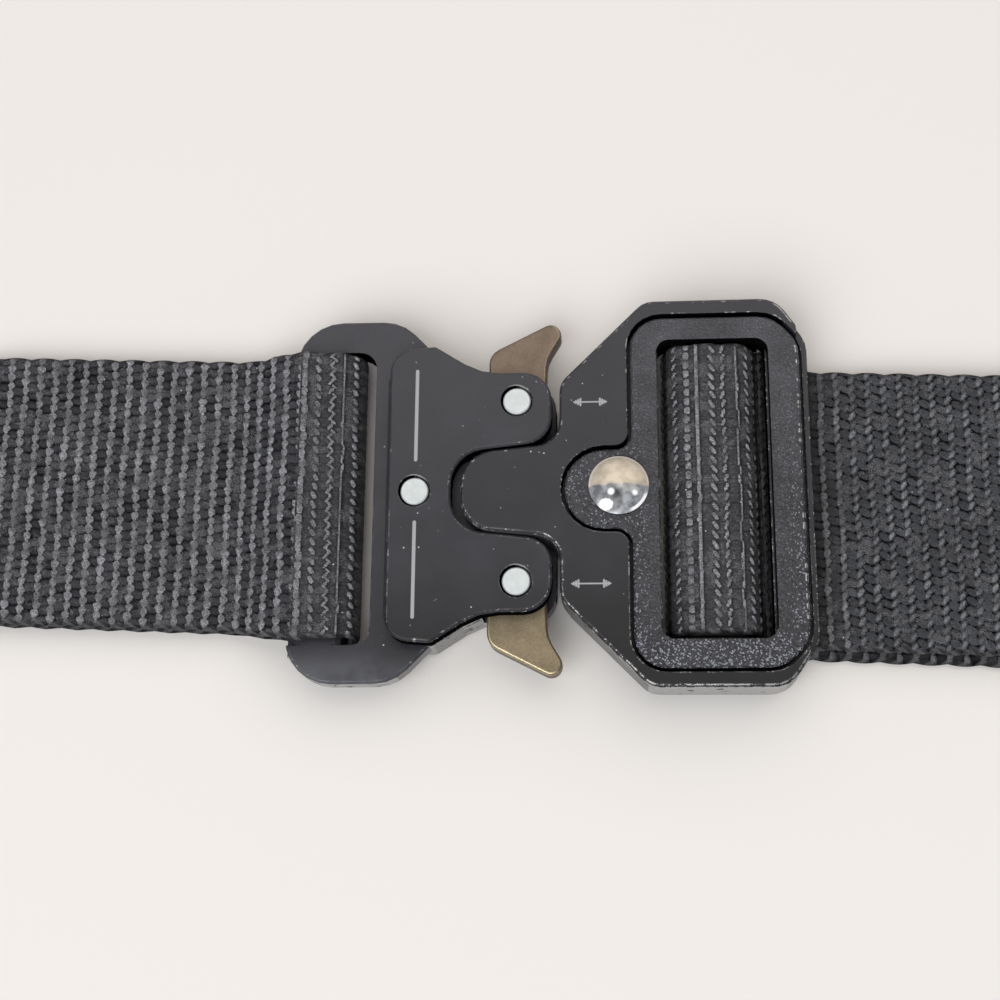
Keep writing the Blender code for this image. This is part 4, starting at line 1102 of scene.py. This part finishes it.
def turned_piece(name, profile, centre, look, replaced):
    """Smooth turned piece on a vertical axis; profile rows are (radius, height) in mm."""
    angles = np.linspace(0.0, math.tau, TURNED_STEPS, endpoint=False)
    verts = [(0.0, 0.0, profile[0][1])]
    for radius, height in profile:
        verts.extend((radius * math.cos(a), radius * math.sin(a), height) for a in angles)
    verts.append((0.0, 0.0, profile[-1][1]))
    faces = []
    for i in range(TURNED_STEPS):
        j = (i + 1) % TURNED_STEPS
        faces.append((0, 1 + j, 1 + i))
        for step in range(len(profile) - 1):
            low = 1 + step * TURNED_STEPS
            high = low + TURNED_STEPS
            faces.append((low + i, low + j, high + j, high + i))
        top = 1 + (len(profile) - 1) * TURNED_STEPS
        faces.append((top + i, top + j, len(verts) - 1))
    mesh = bpy.data.meshes.new(name)
    placed = [((SHIFT + centre[0] + a) * MM, (centre[1] + b) * MM, c * MM) for a, b, c in verts]
    mesh.from_pydata(placed, [], faces)
    mesh.update()
    mesh.shade_smooth()
    mesh.set_sharp_from_angle(angle=TURNED_CREASE)
    mesh.materials.append(look)
    made = added(name, mesh)
    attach(made, "belt")
    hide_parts(replaced)
    return made


def dome_profile():
    """Shank and dome as (radius, height) rows from the bottom up."""
    ball = (DOME_RADIUS ** 2 + DOME_HEIGHT ** 2) / (2 * DOME_HEIGHT)
    profile = [(DOME_SHANK, DOME_SHANK_END), (DOME_SHANK, DOME_SEAT)]
    for step in range(DOME_STEPS):
        angle = math.asin(DOME_RADIUS / ball) * (1 - step / DOME_STEPS)
        profile.append((ball * math.sin(angle),
                        DOME_SEAT + DOME_HEIGHT - ball * (1 - math.cos(angle))))
    return profile


def lever_end(look):
    """Underlap, left bar and top ply."""
    path = Path(lever_end_rows(), SECOND_PLY + LEVEL_MARGIN)
    carved_from = path.length_at(BAR_RIGHT - CARVED_UNDER_BAR, high_z=PLY_SPLIT)
    bar_from = path.length_at(BAR_RIGHT + PLY_GAP + WEB_THICK, PLY_SPLIT)
    bar_to = path.length_at(LEFT_BAR_WEAVE_END, PLY_SPLIT)
    carved_to = path.length_at(LEFT_VIEW, PLY_SPLIT)
    zones = [(0.0, carved_from, COARSE_STEP, 0), (carved_from, carved_to, FINE_STEP, 1),
             (carved_to, path.length, COARSE_STEP, 0)]
    bar = (bar_from, bar_to, path.yarns_at(LEFT_BAR_YARNS, -1, BAR_MIDDLE))
    return strap_piece("strap_left", path, zones, -1, COLUMNS, BACK_COLUMNS,
                       ([0.0, 1.0], [1.0, 1.0]), bar, look)


def adjuster_end(look):
    """Lower ply, slide bar and free tail."""
    path = Path(adjuster_end_rows())
    under_from = path.length_at(RIGHT_VIEW, high_z=PLY_SPLIT)
    under_to = path.length_at(INSERT_SLOT_RIGHT + CARVED_UNDER_BAR, high_z=PLY_SPLIT)
    carved_from = path.length_at(SLIDE_LEFT_AXIS, high_z=PLY_SPLIT)
    bar_from, bar_to = (path.length_at(x, SLIDE_AXIS_Z) for x in SLIDE_BAR_WEAVE)
    carved_to = path.length_at(RIGHT_VIEW, PLY_SPLIT)
    zones = [(0.0, under_from, COARSE_STEP, 0), (under_from, under_to, RIM_STEP, 1),
             (under_to, carved_from, COARSE_STEP, 0), (carved_from, carved_to, FINE_STEP, 1),
             (carved_to, path.length, COARSE_STEP, 0)]
    bar = (bar_from, bar_to, path.yarns_at(SLIDE_BAR_YARNS, 1, SLIDE_AXIS_Z))
    return strap_piece("strap_tail", path, zones, 1, COLUMNS, BACK_COLUMNS,
                       ([0.0, bar_to + SLACK_FROM, bar_to + SLACK_TO], [1.0, 1.0, 0.0]), bar, look)


def waist_loop(look):
    """The strap round the waist, with the plain weave."""
    path = Path(loop_rows())
    return strap_piece("strap_loop", path, [(0.0, path.length, COARSE_STEP / 2, 0)], -1,
                       LOOP_COLUMNS, LOOP_COLUMNS, ([0.0, 1.0], [LOOP_TIGHTNESS, LOOP_TIGHTNESS]),
                       None, look)


def area_light(name, place, size, power, colour):
    data = bpy.data.lights.new(name, 'AREA')
    data.shape = 'RECTANGLE'
    data.size, data.size_y = size
    data.energy = power
    data.color = colour
    made = added(name, data)
    made.location = place
    made.rotation_euler = (Vector(LIGHT_AIM) - Vector(place)).to_track_quat('-Z', 'Y').to_euler()


def studio():
    """Floor, two soft lights, even sky and camera."""
    half = FLOOR_HALF
    mesh = bpy.data.meshes.new("floor")
    mesh.from_pydata([(-half, -half, 0), (half, -half, 0), (half, half, 0), (-half, half, 0)],
                     [], [(0, 1, 2, 3)])
    floor = added("floor", mesh)
    g = Graph("pale_floor")
    g.set(Base_Color=FLOOR_COLOUR, Roughness=0.9)
    mesh.materials.append(g.material)

    area_light("key", *KEY_LIGHT)
    area_light("fill", *FILL_LIGHT)
    world = bpy.data.worlds.new("studio")
    world.use_nodes = True
    sky = world.node_tree.nodes["Background"]
    sky.inputs["Color"].default_value = SKY_COLOUR
    sky.inputs["Strength"].default_value = SKY_STRENGTH
    bpy.context.scene.world = world
    bpy.context.scene.view_settings.view_transform = 'Standard'

    data = bpy.data.cameras.new("camera")
    data.sensor_width = CAMERA_SENSOR
    data.lens = CAMERA_LENS
    data.clip_start, data.clip_end = CAMERA_REACH
    camera = added("camera", data)
    turn_x, turn_y, turn_z = (math.radians(angle) for angle in CAMERA_TURN)
    turn = (Matrix.Rotation(turn_z, 4, 'Z') @ Matrix.Rotation(turn_x, 4, 'X')
            @ Matrix.Rotation(turn_y, 4, 'Y'))
    camera.matrix_world = Matrix.Translation([value * MM for value in CAMERA_PLACE]) @ turn
    bpy.context.scene.camera = camera


ARROWS = arrow_strokes(*UPPER_ARROW) + arrow_strokes(*LOWER_ARROW)
looks = {
    'webbing': webbing_material(),
    'male': paint_material("black_plate_right", 0.75, 0.25, 1.0, 1.0, ARROWS),
    'cover': paint_material("black_plate_left", 1.0, 0.35, 0.6, 0.0, COVER_LINES, RIVETS),
    # The base's mark is a painted shadow line beside the cover's left edge
    'base': paint_material("black_plate_base", 1.1, 0.8, 0.2, 1.0, (COVER_EDGE_SHADOW,),
                           mark=SHADOW_BLACK, sheen=0.6),
    'insert': insert_material(),
    'brass': brass_material(),
    'rivet': metal_material("rivet_face", RIVET_FACE, 1.2, 0.4),
    'chrome': dome_material(),
    'steel': metal_material("slide_steel", SLIDE_STEEL, 0.8, 0.2),
}

for node, look in (
    ("female_base", 'base'), ("female_cover", 'cover'), ("male_body", 'male'),
    ("male_insert", 'insert'), ("upper_lever", 'brass'), ("lower_lever", 'brass'),
    ("centre_rivet", 'rivet'), ("upper_pivot_rivet", 'rivet'), ("lower_pivot_rivet", 'rivet'),
    ("dome_rivet", 'chrome'), ("slide_bar", 'steel'),
):
    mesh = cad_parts[node].data
    mesh.materials.clear()
    mesh.materials.append(looks[look])

turned_piece("dome_top", dome_profile(), (DOME_X, DOME_Y), looks['chrome'], "dome_rivet")
strap_left = lever_end(looks['webbing'])
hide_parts("strap")
adjuster_end(looks['webbing'])
waist_loop(looks['webbing'])
studio()
